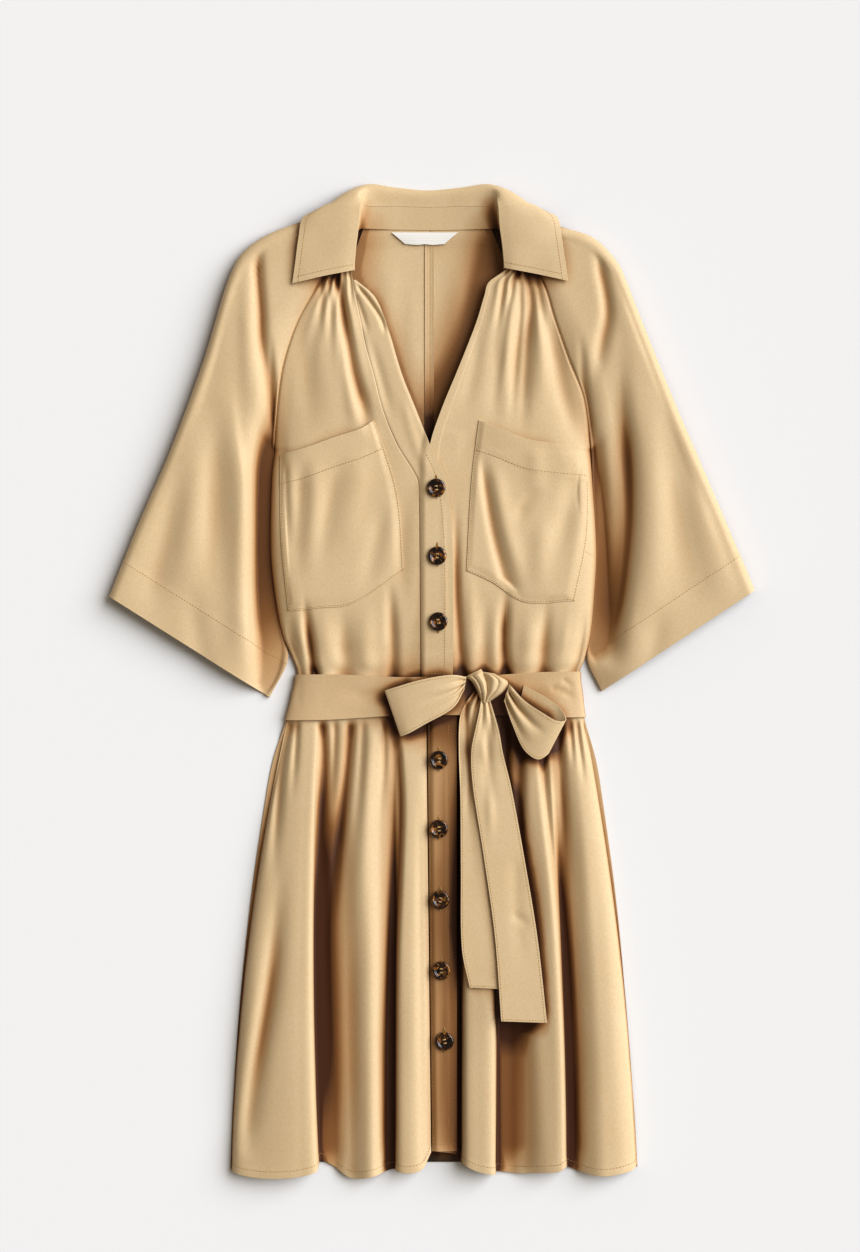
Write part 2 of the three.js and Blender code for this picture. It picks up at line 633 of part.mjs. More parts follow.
// A raglan sleeve: front edge, over the crown, round the overarm fold and back beneath
function sleeve(name, side, overarm, underarm) {
  const sign = side === 'left' ? -1 : 1;
  const back = side === 'left' ? 'backLeft' : 'backRight';
  const fold = flatCurve(overarm);
  const inner = flatCurve([...raglanMarks.map((down) => [outerEdge(side, down), down]), ...underarm]);
  const length = inner.getLength();
  const marks = raglanMarks.map((down, n) => {
    const before = flatCurve([...raglanMarks.slice(0, n + 1).map((d) => [outerEdge(side, d), d])]);
    return n ? before.getLength() / length : 0;
  });
  const underarmSteps = steps(sleeveSteps.underarm).slice(1).map((t) => mix(marks.at(-1), 1, t));
  const rows = [...marks, ...underarmSteps].map((v, n) => {
    const down = raglanMarks[n];
    const beside = inner.getPointAt(v);
    const onRaglan = n < raglanMarks.length;
    const below = ease((down - raglanMarks[0]) / raglanGap.run);
    const clear = seamGap * mix(raglanGap.neck, raglanGap.below, below);
    const a = onRaglan ? { x: outerEdge(side, down) + sign * clear, y: down } : beside;
    const c = onRaglan ? { x: outerEdge(back, down) + (sign * seamGap) / 2, y: down } : beside;
    const low = edgeLift(onRaglan ? down : sideMarks[0]);
    return sleeveRow(a, fold.getPointAt(v), c, mixList(sleeveCrown, v), low);
  });
  sheet(name, rows);
}

// One ray across a sleeve, from its front edge at a to its fold at b and beneath to its back edge at c
function sleeveRow(a, b, c, crown, low) {
  const length = Math.hypot(b.x - a.x, b.y - a.y);
  const roll = Math.min(sleeveRoll.radius, length * sleeveRoll.share) / length;
  const along = (t, lift) => place(mix(a.x, b.x, t), mix(a.y, b.y, t), lift);
  const points = [];
  for (const t of sleeveSteps.front) {
    const s = Math.min(1, t / sleeveRise);
    points.push(along(t * (1 - roll), mix(low, crown, s * (2 - s))));
  }
  const middle = (crown + half) / 2;
  for (const turn of sleeveSteps.turn) {
    const angle = Math.PI * turn;
    points.push(along(1 - roll + roll * Math.sin(angle), middle + (crown - middle) * Math.cos(angle)));
  }
  const turned = along(1 - roll, half);
  for (const t of sleeveSteps.back) points.push(turned.clone().lerp(place(c.x, c.y, half), t));
  return points;
}

function mixList(values, t) {
  const at = t * (values.length - 1);
  const n = Math.min(values.length - 2, Math.floor(at));
  return mix(values[n], values[n + 1], at - n);
}

// A patch pocket follows the front that it is sewn to, one step above it
function pocket(name, edges, surface) {
  const top = flatCurve(edges.top);
  const bottom = flatCurve(edges.bottom);
  const left = flatCurve(edges.left);
  const right = flatCurve(edges.right);
  const rows = steps(9).map((v) => steps(11).map((u) => {
    const flat = patchPoint(top, bottom, left, right, u, v);
    const nudge = 1;
    const here = surface(flat.x, flat.y);
    const slopeX = (surface(flat.x + nudge, flat.y) - here) / nudge;
    const slopeY = (surface(flat.x, flat.y + nudge) - here) / nudge;
    const gape = pocketMouth.lift * (1 - ease(v / pocketMouth.reach)) * Math.sin(Math.PI * u);
    const normal = new THREE.Vector3(-slopeX, slopeY, 1).normalize();
    return place(flat.x, flat.y, here + gape).addScaledVector(normal, step);
  }));
  sheet(name, rows);
}

// A place inside four edges: ruled both ways, less the part that the corners would count twice
function patchPoint(top, bottom, left, right, u, v) {
  const between = (a, b, t) => a.clone().lerp(b, t);
  const downwards = between(top.getPoint(u), bottom.getPoint(u), v);
  const sideways = between(left.getPoint(v), right.getPoint(v), u);
  const topCorners = between(top.getPoint(0), top.getPoint(1), u);
  const bottomCorners = between(bottom.getPoint(0), bottom.getPoint(1), u);
  return downwards.add(sideways).sub(between(topCorners, bottomCorners, v));
}

// The collar runs from one front end round the neck to the other
function mirrored([across, down, lift]) {
  const { scale, drop: fullDrop, from, end } = collarRightReach;
  const offset = (collarMiddle - across) * scale;
  const drop = down > from ? (fullDrop * down) / end : 0;
  return place(collarMiddle + offset, down + drop, lift);
}

function bothSides(sections, names) {
  const left = sections.map((row) => names.map((name) => place(...row[name])));
  const right = sections.slice(0, -1).reverse().map((row) => names.map((name) => mirrored(row[name])));
  return [...left, ...right];
}

function collar() {
  const leafSections = bothSides(collarSections, ['seam', 'top', 'turn', 'under', 'edge']);
  const leaf = loft(leafSections, steps(28), steps(9));
  for (const point of leaf.flat()) point.z = Math.max(point.z, half);
  sheet('collar_leaf', leaf);
  sheet('collar_stand', loft(bothSides(standSections, ['neck', 'top']), steps(24), steps(2)));
}

// The belt goes once round the waist, over the fronts and under the back
const beltTurn = 0.002;
const beltBackSteps = [1, 0.97, 0.7, 0.4, 0.1, 0.03, 0];
const beltTaper = { from: 0.1, run: 0.3 };
const beltEndLift = 0.3;
const beltOverBand = { left: -27, right: 38, ramp: 10 };

function belt() {
  const front = [0, beltTurn, ...steps(20, 0.8, 0.8).slice(1, -1), 1 - beltTurn, 1];
  const over = front.map((u) => ({ u, over: true }));
  const rows = [...over, ...beltBackSteps.map((u) => ({ u, over: false }))];
  const grid = rows.map(({ u, over }) => steps(4).map((v) => beltPoint(u, v, over)));
  sheet('belt', grid, { ring: true });
}

function beltPoint(u, v, over) {
  const taper = ease((Math.abs(u - 0.5) - beltTaper.from) / beltTaper.run);
  const width = mix(beltWidths.middle, beltWidths.side, taper);
  const down = mix(beltMiddles.left, beltMiddles.right, u) + width * (v - 0.5);
  const left = frontEdge('left', down);
  const right = frontEdge('right', down);
  const across = mix(left, right, u);
  const edge = u === 0 || u === 1;
  if (!over) {
    const reach = edge ? step * (u ? 1 : -1) : 0;
    return place(across + reach, down, edge ? half + beltEndLift : half);
  }
  const nudge = 0.2;
  const slope = (frontLift(across + nudge, down) - frontLift(across - nudge, down)) / (2 * nudge);
  const normal = edge ? new THREE.Vector3(u ? 1 : -1, 0, 0) : new THREE.Vector3(-slope, 0, 1).normalize();
  const { left: bandStart, right: bandEnd, ramp } = beltOverBand;
  const overBand = ease((across - bandStart) / ramp) * ease((bandEnd - across) / ramp);
  const band = (step + bandStep.clear) * overBand;
  return place(across, down, frontLift(across, down) + band).addScaledVector(normal, step);
}

function loop(name, rows) {
  const controls = rows.map((row) => [place(...row.high), place(...row.low)]);
  const middle = controls.map(([high, low]) => {
    const centre = high.clone().add(low).multiplyScalar(0.5);
    return [high, centre, low];
  });
  sheet(name, loft(middle, steps(16), steps(4)));
}

function knotBody() {
  const geometry = new THREE.SphereGeometry(1, knot.sides, knot.rings);
  geometry.deleteAttribute('normal');
  geometry.deleteAttribute('uv');
  geometry.scale(knot.width / 2, knot.height / 2, knot.thickness / 2);
  geometry.rotateZ(knot.turn);
  const centre = place(knot.across, knot.down, knot.lift);
  geometry.translate(centre.x, centre.y, centre.z);
  addMesh('bow_knot', geometry, cloth);
}

// The highest cloth of the skirt near a place
function skirtTop(across, down, reach) {
  let highest = 0;
  const spot = place(across, down, 0);
  for (const point of [leftSkirt, rightSkirt].flat(2)) {
    const away = Math.hypot(point.x - spot.x, (point.y - spot.y) * tailClear.lengthwise);
    if (away < reach) highest = Math.max(highest, point.z);
  }
  return highest;
}

function tailLift(table, down) {
  const left = column(table, 'left', down);
  const right = column(table, 'right', down);
  const reach = (right - left) / 2 + tailClear.reach;
  return Math.max(column(table, 'lift', down), skirtTop((left + right) / 2, down, reach) + step);
}

function tail(name, table, liftAt) {
  const rows = steps(14).map((v) => {
    const down = mix(table[0].down, table.at(-1).down, v);
    const left = column(table, 'left', down);
    const right = column(table, 'right', down);
    return steps(2).map((u) => place(mix(left, right, u), down + (u - 0.5) * tailSlant, liftAt(down)));
  });
  sheet(name, rows);
}

function tails() {
  const lower = (down) => tailLift(narrowTail, down);
  const upper = (down) => lower(Math.min(down, narrowTail.at(-1).down)) + step + layGap;
  tail('bow_tail_narrow', narrowTail, lower);
  tail('bow_tail_wide', wideTail, (down) => Math.max(tailLift(wideTail, down), upper(down)));
}

function button(name, across, down, lift) {
  const radius = buttonDiameter / 2;
  const profile = buttonSection.map(([x, y]) => new THREE.Vector2(x * radius, y * buttonThickness));
  const geometry = new THREE.LatheGeometry(profile, buttonSides);
  geometry.rotateX(Math.PI / 2);
  const spot = place(across, down, lift);
  geometry.translate(spot.x, spot.y, spot.z);
  addMesh(name, geometry, resin);
}

function buttons() {
  buttonPlaces.forEach(({ across, down }, n) => {
    const band = down < beltTop ? bandLift(across, down) : skirtBandSeam(down).lift + step;
    button(`button_${n + 1}`, across, down, band + half + buttonClear);
  });
}

function label() {
  const { top, bottom } = labelCorners;
  const rows = steps(2).map((v) => steps(4).map((u) => {
    const left = mix(top.left, bottom.left, v);
    const right = mix(top.right, bottom.right, v);
    const down = mix(top.down, bottom.down, v);
    return place(mix(left, right, u), down, backLift(0, down) + half + labelWall / 2 + layGap);
  }));
  sheet('neck_label', rows, { thickness: labelWall, material: satin });
}

backBodices();
backSkirt();
frontBodices();
bodiceBand();
skirtFronts();
skirtBand();
sleeve('sleeve_left', 'left', leftOverarm, leftUnderarm);
sleeve('sleeve_right', 'right', rightOverarm, rightUnderarm);
pocket('pocket_left', leftPocket, leftFront);
pocket('pocket_right', rightPocket, rightFront);
collar();
belt();
loop('bow_loop_left', leftLoop);
loop('bow_loop_right', rightLoop);
knotBody();
tails();
buttons();
label();

export default group;
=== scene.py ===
# A raglan shirt dress in woven viscose crepe, laid flat on its back on a pale table, belt tied in a bow.
# Tables are in millimetres of the garment: across from the middle, down from the top of the collar
# and lift above the table. Meshes are made in metres. Left and right are the viewer's.
import math

import bpy
import numpy as np
from mathutils import Matrix


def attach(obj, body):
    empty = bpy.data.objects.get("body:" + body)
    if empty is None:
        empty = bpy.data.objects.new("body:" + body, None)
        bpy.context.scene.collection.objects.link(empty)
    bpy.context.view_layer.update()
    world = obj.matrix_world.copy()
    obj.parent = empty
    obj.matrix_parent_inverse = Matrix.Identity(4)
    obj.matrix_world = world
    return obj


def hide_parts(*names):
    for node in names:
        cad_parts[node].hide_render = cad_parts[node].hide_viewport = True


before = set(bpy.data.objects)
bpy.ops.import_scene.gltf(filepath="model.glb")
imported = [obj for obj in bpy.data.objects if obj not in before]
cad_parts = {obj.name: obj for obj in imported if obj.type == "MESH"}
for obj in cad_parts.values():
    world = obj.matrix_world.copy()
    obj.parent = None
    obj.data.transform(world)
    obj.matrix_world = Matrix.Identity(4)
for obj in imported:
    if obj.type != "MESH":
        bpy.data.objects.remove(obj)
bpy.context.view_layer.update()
print("Frame loaded:", len(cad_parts), "nodes")

# cloth is one layer of crepe, doubled two layers with the turning between them, hemmed three at the
# skirt's hem and turned three at the cuffs and the pockets' mouths
dress = {"length": 956, "wall": 1.6, "layGap": 0.6, "waist": 492, "beltTop": 470, "beltBottom": 514,
         "cloth": 0.55, "doubled": 1.0, "hemmed": 1.15, "turned": 0.95,
         "seamLift": 1.35, "centreBack": -2.5}
step = dress["wall"] + dress["layGap"]
half = dress["wall"] / 2
metre = 0.001


# Small mathematics shared by every piece

def mix(a, b, t):
    return a + (b - a) * t


def ease(t):
    s = np.clip(t, 0, 1)
    return s * s * (3 - 2 * s)


def bump(value, centre, width):
    return np.exp(-(((value - centre) / width) ** 2))


def place(across, down, lift):
    return np.stack(np.broadcast_arrays(across, dress["length"] / 2 - down, lift), axis=-1).astype(float)


def steps(count, atStart=0.0, atEnd=0.0):
    # from 0 to 1, closer together towards the start or the end
    t = np.linspace(0, 1, count + 1)
    if atStart and atEnd:
        return t - atStart * np.sin(2 * math.pi * t) / (2 * math.pi)
    if atStart:
        return mix(t, 1 - np.cos(math.pi * t / 2), atStart)
    return mix(t, np.sin(math.pi * t / 2), atEnd)


def column(table, name, down):
    # smooth value of one column of a table at any distance down
    x = np.asarray(table["down"], float)
    y = np.asarray(table[name], float)
    slope = np.empty_like(y)
    slope[1:-1] = (y[2:] - y[:-2]) / (x[2:] - x[:-2])
    slope[0] = (y[1] - y[0]) / (x[1] - x[0])
    slope[-1] = (y[-1] - y[-2]) / (x[-1] - x[-2])
    d = np.clip(down, x[0], x[-1])
    i = np.clip(np.searchsorted(x, d, side="right") - 1, 0, len(x) - 2)
    span = x[i + 1] - x[i]
    t = (d - x[i]) / span
    a, b = y[i], y[i + 1]
    leave, arrive = slope[i] * span, slope[i + 1] * span
    return a + t * (leave + t * (3 * (b - a) - 2 * leave - arrive + t * (2 * (a - b) + leave + arrive)))


def through(points, at):
    # smooth curve through points[0], points[1] and so on, read at values from 0 to 1
    points = np.asarray(points, float)
    last = len(points) - 1
    where = np.clip(np.asarray(at, float), 0, 1) * last
    i = np.minimum(where.astype(int), last - 1)
    t = (where - i).reshape((-1,) + (1,) * (points.ndim - 1))
    ends = np.concatenate([[2 * points[0] - points[1]], points, [2 * points[-1] - points[-2]]])
    p0, p1, p2, p3 = (ends[i + k] for k in range(4))

    def reach(a, b):
        return np.sqrt(np.linalg.norm(b - a, axis=-1, keepdims=True))

    d1 = np.maximum(reach(p1, p2), 1e-4)
    d0, d2 = reach(p0, p1), reach(p2, p3)
    d0, d2 = np.where(d0 < 1e-4, d1, d0), np.where(d2 < 1e-4, d1, d2)
    leave = ((p1 - p0) / d0 - (p2 - p0) / (d0 + d1) + (p2 - p1) / d1) * d1
    arrive = ((p2 - p1) / d1 - (p3 - p1) / (d1 + d2) + (p3 - p2) / d2) * d1
    return p1 + t * (leave + t * (3 * (p2 - p1) - 2 * leave - arrive + t * (2 * (p1 - p2) + leave + arrive)))


def evenly(points, at):
    # the same curve, read at equal lengths
    dense = through(points, np.linspace(0, 1, 500))
    run = np.concatenate([[0], np.cumsum(np.linalg.norm(np.diff(dense, axis=0), axis=1))])
    where = np.asarray(at) * run[-1]
    return np.stack([np.interp(where, run, dense[:, k]) for k in range(dense.shape[1])], axis=-1)


def loft(controls, rows, columns):
    # controls[row][column] is a point; the grid passes smoothly through all of them
    over = through(np.swapaxes(np.asarray(controls, float), 0, 1), columns)
    return through(np.swapaxes(over, 0, 1), rows)


def ripple(across, down, seed):
    # the slight unevenness of cloth that has been handled, a fifth of a millimetre or so
    a = np.sin(across / 17.0 + 1.3 * seed + 0.9 * np.sin(down / 41.0 + seed))
    b = np.sin(down / 29.0 + 2.1 * seed + 1.2 * np.sin(across / 33.0 - seed))
    c = np.sin((across + 0.6 * down) / 11.0 + 0.7 * seed)
    return 0.22 * a + 0.24 * b + 0.09 * c


def creased(across, down, table):
    # soft ridges and troughs laid along short lines; each fades out towards its ends, and
    # "lean" makes its right side gentler and its left side steeper
    across, down = np.broadcast_arrays(across, down)
    lift = np.zeros(across.shape)
    for c in table:
        path = np.array(c["path"], float)
        if len(path) > 2:
            path = through(path, np.linspace(0, 1, 3 * len(path)))
        runs = np.linalg.norm(np.diff(path, axis=0), axis=1)
        total = runs.sum()
        best = np.full(across.shape, 1e9)
        off = np.zeros(across.shape)
        t = np.zeros(across.shape)
        gone = 0.0
        for (x0, y0), (x1, y1), run in zip(path[:-1], path[1:], runs):
            ax, ay = (x1 - x0) / run, (y1 - y0) / run
            along = np.clip((across - x0) * ax + (down - y0) * ay, 0, run)
            dx, dy = across - x0 - along * ax, down - y0 - along * ay
            far = np.hypot(dx, dy)
            near = far < best
            best = np.where(near, far, best)
            off = np.where(near, far * np.sign(dx * ay - dy * ax), off)
            t = np.where(near, (gone + along) / total, t)
            gone += run
        lean = c.get("lean", 0)
        first, last = c.get("fade", (0.2, 0.45))
        wide = c["wide"] * (1 + c.get("spread", 0.3) * t) * np.where(off > 0, 1 + lean, 1 - lean)
        strength = (ease(t / first) if first else 1) * (ease((1 - t) / last) if last else 1)
        lift = lift + c["rise"] * bump(off, 0, wide) * strength
    return lift


# Building cloth as a thin closed shell

def normalsOf(grid, ring=False):
    if ring:
        along = np.roll(grid, -1, axis=0) - np.roll(grid, 1, axis=0)
    else:
        along = np.gradient(grid, axis=0)
    over = np.gradient(grid, axis=1)
    normal = np.cross(along, over)
    return normal / np.maximum(np.linalg.norm(normal, axis=-1, keepdims=True), 1e-9)


def withEdgeRows(grid, axis, inset=0.22):
    # one more row close to each border, so the rolled edge is narrow when it is shaded smooth
    grid = np.swapaxes(grid, 0, axis)
    parts = []
    for a, b in ((grid[0], grid[1]), (grid[-1], grid[-2])):
        gap = np.linalg.norm((b - a)[..., :3], axis=-1, keepdims=True)
        parts.append(a + (b - a) * np.clip(inset / np.maximum(gap, 1e-6), 0, 0.5))
    grid = np.concatenate([grid[:1], parts[0][None], grid[1:-1], parts[1][None], grid[-1:]])
    return np.swapaxes(grid, 0, axis)


def newObject(name, vertices, faces, material, smooth=True):
    mesh = bpy.data.meshes.new(name)
    mesh.from_pydata(vertices.tolist(), [], faces)
    mesh.polygons.foreach_set("use_smooth", [smooth] * len(mesh.polygons))
    mesh.materials.append(material)
    mesh.update()
    obj = bpy.data.objects.new(name, mesh)
    bpy.context.scene.collection.objects.link(obj)
    return obj


def blurred(values, count, axis):
    values = np.swapaxes(values, 0, axis)
    count = min(count, len(values) - 1)
    padded = np.concatenate([np.repeat(values[:1], count + 1, 0), values, np.repeat(values[-1:], count, 0)])
    total = np.cumsum(padded, axis=0)
    return np.swapaxes((total[2 * count + 1:] - total[:-2 * count - 1]) / (2 * count + 1), 0, axis)


shells = []


def shell(name, grid, material, thickness, ring=False):
    # a closed wall of cloth through a grid of middle points; thickness may vary over it
    thick = np.broadcast_to(np.asarray(thickness, float), grid.shape[:2])[..., None]
    full = withEdgeRows(np.concatenate([grid, thick], axis=-1), 1)
    if not ring:
        full = withEdgeRows(full, 0)
    middle, thick = full[..., :3], full[..., 3:]
    normal = normalsOf(middle, ring)
    rows, columns = middle.shape[:2]
    vertices = np.concatenate([(middle + normal * thick / 2).reshape(-1, 3),
                               (middle - normal * thick / 2).reshape(-1, 3)])
    ids = np.arange(rows * columns).reshape(rows, columns)
    if ring:
        ids = np.concatenate([ids, ids[:1]])
    under = ids + rows * columns

    def quads(a, b, c, d):
        return np.stack([a, b, c, d], axis=-1).reshape(-1, 4)

    faces = [quads(ids[:-1, :-1], ids[1:, :-1], ids[1:, 1:], ids[:-1, 1:]),
             quads(under[:-1, :-1], under[:-1, 1:], under[1:, 1:], under[1:, :-1]),
             quads(ids[:-1, 0], under[:-1, 0], under[1:, 0], ids[1:, 0]),
             quads(ids[:-1, -1], ids[1:, -1], under[1:, -1], under[:-1, -1])]
    if not ring:
        faces.append(quads(ids[0, :-1], ids[0, 1:], under[0, 1:], under[0, :-1]))
        faces.append(quads(ids[-1, :-1], under[-1, :-1], under[-1, 1:], ids[-1, 1:]))
    faces = np.concatenate(faces)
    a, b, c = (vertices[faces[:, k]] for k in range(3))
    if np.sum(np.einsum("ij,ij->i", a, np.cross(b, c))) < 0:
        faces = faces[:, ::-1]
    piece = newObject(name, vertices * metre, faces.tolist(), material)
    shells.append((piece, vertices))
    return piece


def cutOf(grid):
    # width, length and area of the flat piece of cloth, measured along the grid
    rows = np.linalg.norm(np.diff(grid, axis=1), axis=-1).sum(axis=1)
    columns = np.linalg.norm(np.diff(grid, axis=0), axis=-1).sum(axis=0)
    across = (grid[:-1, 1:] - grid[:-1, :-1] + grid[1:, 1:] - grid[1:, :-1]) / 2
    along = (grid[1:, :-1] - grid[:-1, :-1] + grid[1:, 1:] - grid[:-1, 1:]) / 2
    area = np.linalg.norm(np.cross(across, along), axis=-1).sum()
    return rows.max() * metre, columns.max() * metre, area * metre * metre


def clothPiece(node, grid, material, thickness, ring=False):
    # a shell that stands for a solid of the frame, which it hides; the size of its cut is worked out, not
    # kept
    piece = shell(node + "_cloth", grid, material, thickness, ring)
    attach(piece, "root")
    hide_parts(node)
    closed = np.concatenate([grid, grid[:1]]) if ring else grid
    width, length, area = cutOf(closed)
    area = min(area, width * length)


# Sewing: every stitch is a small raised bar of thread

stitching = {"pitch": 3.0, "length": 2.3, "width": 0.5, "height": 0.3, "sunk": 0.2}
fineStitch = {"pitch": 2.8, "width": 0.4}
stitchBars = []


def lineFrom(grid, edge, inset, start=0.0, end=1.0, thickness=0.55):
    # a line on the upper face, at a steady distance from one edge of a piece
    normal = normalsOf(grid)
    turned = {"left": lambda g: g, "right": lambda g: g[:, ::-1],
              "top": lambda g: np.swapaxes(g, 0, 1), "bottom": lambda g: np.swapaxes(g, 0, 1)[:, ::-1]}[edge]
    runs, sides = turned(grid), turned(normal)
    first, last = int(start * (len(runs) - 1)), int(math.ceil(end * (len(runs) - 1)))
    points = []
    for run, side in zip(runs[first:last + 1], sides[first:last + 1]):
        far = np.concatenate([[0], np.cumsum(np.linalg.norm(np.diff(run, axis=0), axis=1))])
        at = [np.interp(inset, far, run[:, k]) for k in range(3)]
        up = np.array([np.interp(inset, far, side[:, k]) for k in range(3)])
        up = up / np.linalg.norm(up) * (1 if up[2] >= 0 else -1)
        points.append(np.concatenate([np.array(at) + up * thickness / 2, up]))
    return np.array(points)


def sew(line, pitch=None, length=None, width=None):
    # stitches at equal spacing along a line of points with their normals
    pitch = pitch or stitching["pitch"]
    length = length or stitching["length"]
    width = width or stitching["width"]
    run = np.concatenate([[0], np.cumsum(np.linalg.norm(np.diff(line[:, :3], axis=0), axis=1))])
    if run[-1] < pitch:
        return
    at = np.arange(pitch / 2, run[-1], pitch)
    centre = np.stack([np.interp(at, run, line[:, k]) for k in range(3)], axis=-1)
    up = np.stack([np.interp(at, run, line[:, k + 3]) for k in range(3)], axis=-1)
    ahead = np.stack([np.interp(at + 0.5, run, line[:, k]) for k in range(3)], axis=-1)
    behind = np.stack([np.interp(at - 0.5, run, line[:, k]) for k in range(3)], axis=-1)
    along = ahead - behind
    along /= np.maximum(np.linalg.norm(along, axis=-1, keepdims=True), 1e-9)
    bars(centre, along, up, length, width)


def bars(centre, along, up, length, width):
    side = np.cross(up, along)
    side /= np.maximum(np.linalg.norm(side, axis=-1, keepdims=True), 1e-9)
    high, low = up * stitching["height"], up * stitching["sunk"]
    corners = [centre - along * length / 2 - low]
    for end in (-0.3, 0.3):
        middle = centre + along * length * end
        corners += [middle + side * width / 2, middle + high, middle - side * width / 2, middle - low * 1.6]
    corners.append(centre + along * length / 2 - low)
    stitchBars.append(np.stack(corners, axis=1))


def finishStitching(name, material):
    corners = np.concatenate(stitchBars)
    base = np.arange(len(corners))[:, None] * corners.shape[1]
    pointed, straight = [], []
    for k in range(4):
        n = (k + 1) % 4
        pointed += [[0, 1 + n, 1 + k], [9, 5 + k, 5 + n]]
        straight.append([1 + k, 1 + n, 5 + n, 5 + k])
    tips = np.concatenate([base + np.array(face) for face in pointed])
    waist = np.concatenate([base + np.array(face) for face in straight])
    piece = newObject(name, corners.reshape(-1, 3) * metre, tips.tolist() + waist.tolist(), material)
    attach(piece, "root")
    print("Sewn:", len(corners), "stitches")


# Materials

def linear(hexColour):
    values = [int(hexColour[k:k + 2], 16) / 255 for k in (1, 3, 5)]
    return [v / 12.92 if v <= 0.04045 else ((v + 0.055) / 1.055) ** 2.4 for v in values] + [1]


def addNode(tree, kind, inputs=None, **settings):
    node = tree.nodes.new(kind)
    for key, value in settings.items():
        setattr(node, key, value)
    for key, value in (inputs or {}).items():
        if isinstance(value, bpy.types.NodeSocket):
            tree.links.new(value, node.inputs[key])
        else:
            node.inputs[key].default_value = value
    return node


def newMaterial(name):
    material = bpy.data.materials.new(name)
    material.use_nodes = True
    tree = material.node_tree
    tree.nodes.clear()
    surface = addNode(tree, "ShaderNodeBsdfPrincipled")
    addNode(tree, "ShaderNodeOutputMaterial", {"Surface": surface.outputs["BSDF"]})
    place3d = addNode(tree, "ShaderNodeTexCoord").outputs["Object"]
    return material, tree, surface, place3d


def remap(tree, value, fromRange, toRange):
    ends = {"From Min": fromRange[0], "From Max": fromRange[1], "To Min": toRange[0], "To Max": toRange[1]}
    return addNode(tree, "ShaderNodeMapRange", {"Value": value, **ends}).outputs[0]


def blend(tree, factor, first, second):
    # the first colour where the factor is 0, the second where it is 1
    node = addNode(tree, "ShaderNodeMix", {"Factor": factor, 6: first, 7: second}, data_type="RGBA")
    return node.outputs[2]


def waves(spacing):
    # scale of a wave texture whose bands lie about this many millimetres apart
    return 1000 / math.pi / spacing


# Viscose crepe: hard-twisted yarns pull the plain weave into tiny pebbles, so it is matt with a soft
# bloom at grazing angles. The real pebble is about 0.4 mm; it is drawn 0.9 mm wide so that it shows.
# Widths are in millimetres. The two crease colours, the warmer one and "deep", are painted shade: the cloth
# is coloured warmer, then darker, by how deep each place lies in a crease, as light bounced inside it would
# look. "shallow" and "fold" say over which depths of a crease these painted shades come in, and how far,
# and "roughness" goes from the gaps to the tops of the pebbles.
crepe = {"colour": "#DECBAB", "toneAndGapShade": "#CFB58C", "creaseShade": "#B07D42", "deep": "#4A2203", "bloom": "#FFF4E0",
         "pebble": 0.9, "slub": 3.4, "cloud": 70,
         "weave": (0.72, 1.28), "weaveShade": 0.42, "cloudShade": 0.4,
         "shallow": ((0, 0.6), (0, 0.9)), "fold": ((0.38, 0.88), (0, 0.94)),
         "roughness": (0.64, 0.53), "bump": 0.24, "bumpHeight": 0.2}


def wovenCrepe(name):
    material, tree, surface, place3d = newMaterial(name)
    stretch = crepe["pebble"] / crepe["slub"]
    yarns = []
    for scale in ((1, stretch, 1), (stretch, 1, 1)):
        way = addNode(tree, "ShaderNodeMapping", {"Vector": place3d, "Scale": scale})
        yarn = addNode(tree, "ShaderNodeTexNoise", {"Vector": way.outputs["Vector"], "Detail": 2.0,
                                                    "Roughness": 0.6, "Scale": 1000 / crepe["pebble"]})
        yarns.append(yarn.outputs["Fac"])
    both = addNode(tree, "ShaderNodeMath", {0: yarns[0], 1: yarns[1]}, operation="ADD")
    pebbles = remap(tree, both.outputs[0], crepe["weave"], (0, 1))
    cloud = addNode(tree, "ShaderNodeTexNoise", {"Vector": place3d, "Scale": 1000 / crepe["cloud"],
                                                 "Detail": 3.0})
    # the darker colour comes in at random over the cloth, a real tone, and in the gaps between the pebbles,
    # where it is painted shade
    shade = remap(tree, pebbles, (0, 1), (crepe["weaveShade"], 0))
    drift = addNode(tree, "ShaderNodeMath", {0: cloud.outputs["Fac"], 1: crepe["cloudShade"], 2: shade},
                    operation="MULTIPLY_ADD")
    plain = blend(tree, drift.outputs[0], linear(crepe["colour"]), linear(crepe["toneAndGapShade"]))
    # painted shade: warmer in shallow creases and darker in deep ones, by each place's measured depth
    creaseShade = addNode(tree, "ShaderNodeAttribute", attribute_name="creaseShade").outputs["Fac"]
    shallowShaded = blend(tree, remap(tree, creaseShade, *crepe["shallow"]), plain, linear(crepe["creaseShade"]))
    creaseShaded = blend(tree, remap(tree, creaseShade, *crepe["fold"]), shallowShaded, linear(crepe["deep"]))
    rough = remap(tree, pebbles, (0, 1), crepe["roughness"])
    relief = addNode(tree, "ShaderNodeBump", {"Height": pebbles, "Strength": crepe["bump"],
                                              "Distance": crepe["bumpHeight"] * metre})
    tree.links.new(creaseShaded, surface.inputs["Base Color"])
    tree.links.new(rough, surface.inputs["Roughness"])
    tree.links.new(relief.outputs[0], surface.inputs["Normal"])
    surface.inputs["IOR"].default_value = 1.48
    surface.inputs["Sheen Weight"].default_value = 0.14
    surface.inputs["Sheen Roughness"].default_value = 0.45
    surface.inputs["Sheen Tint"].default_value = linear(crepe["bloom"])
    return material


# Polished tortoiseshell resin: a clear amber casting clouded with near-black, hard and wet-looking
resin = {"dark": "#140A05", "brown": "#3E220F", "amber": "#A87538", "blotch": 5.2, "darkTo": 0.38,
         "brownAt": 0.52, "amberFrom": 0.66}


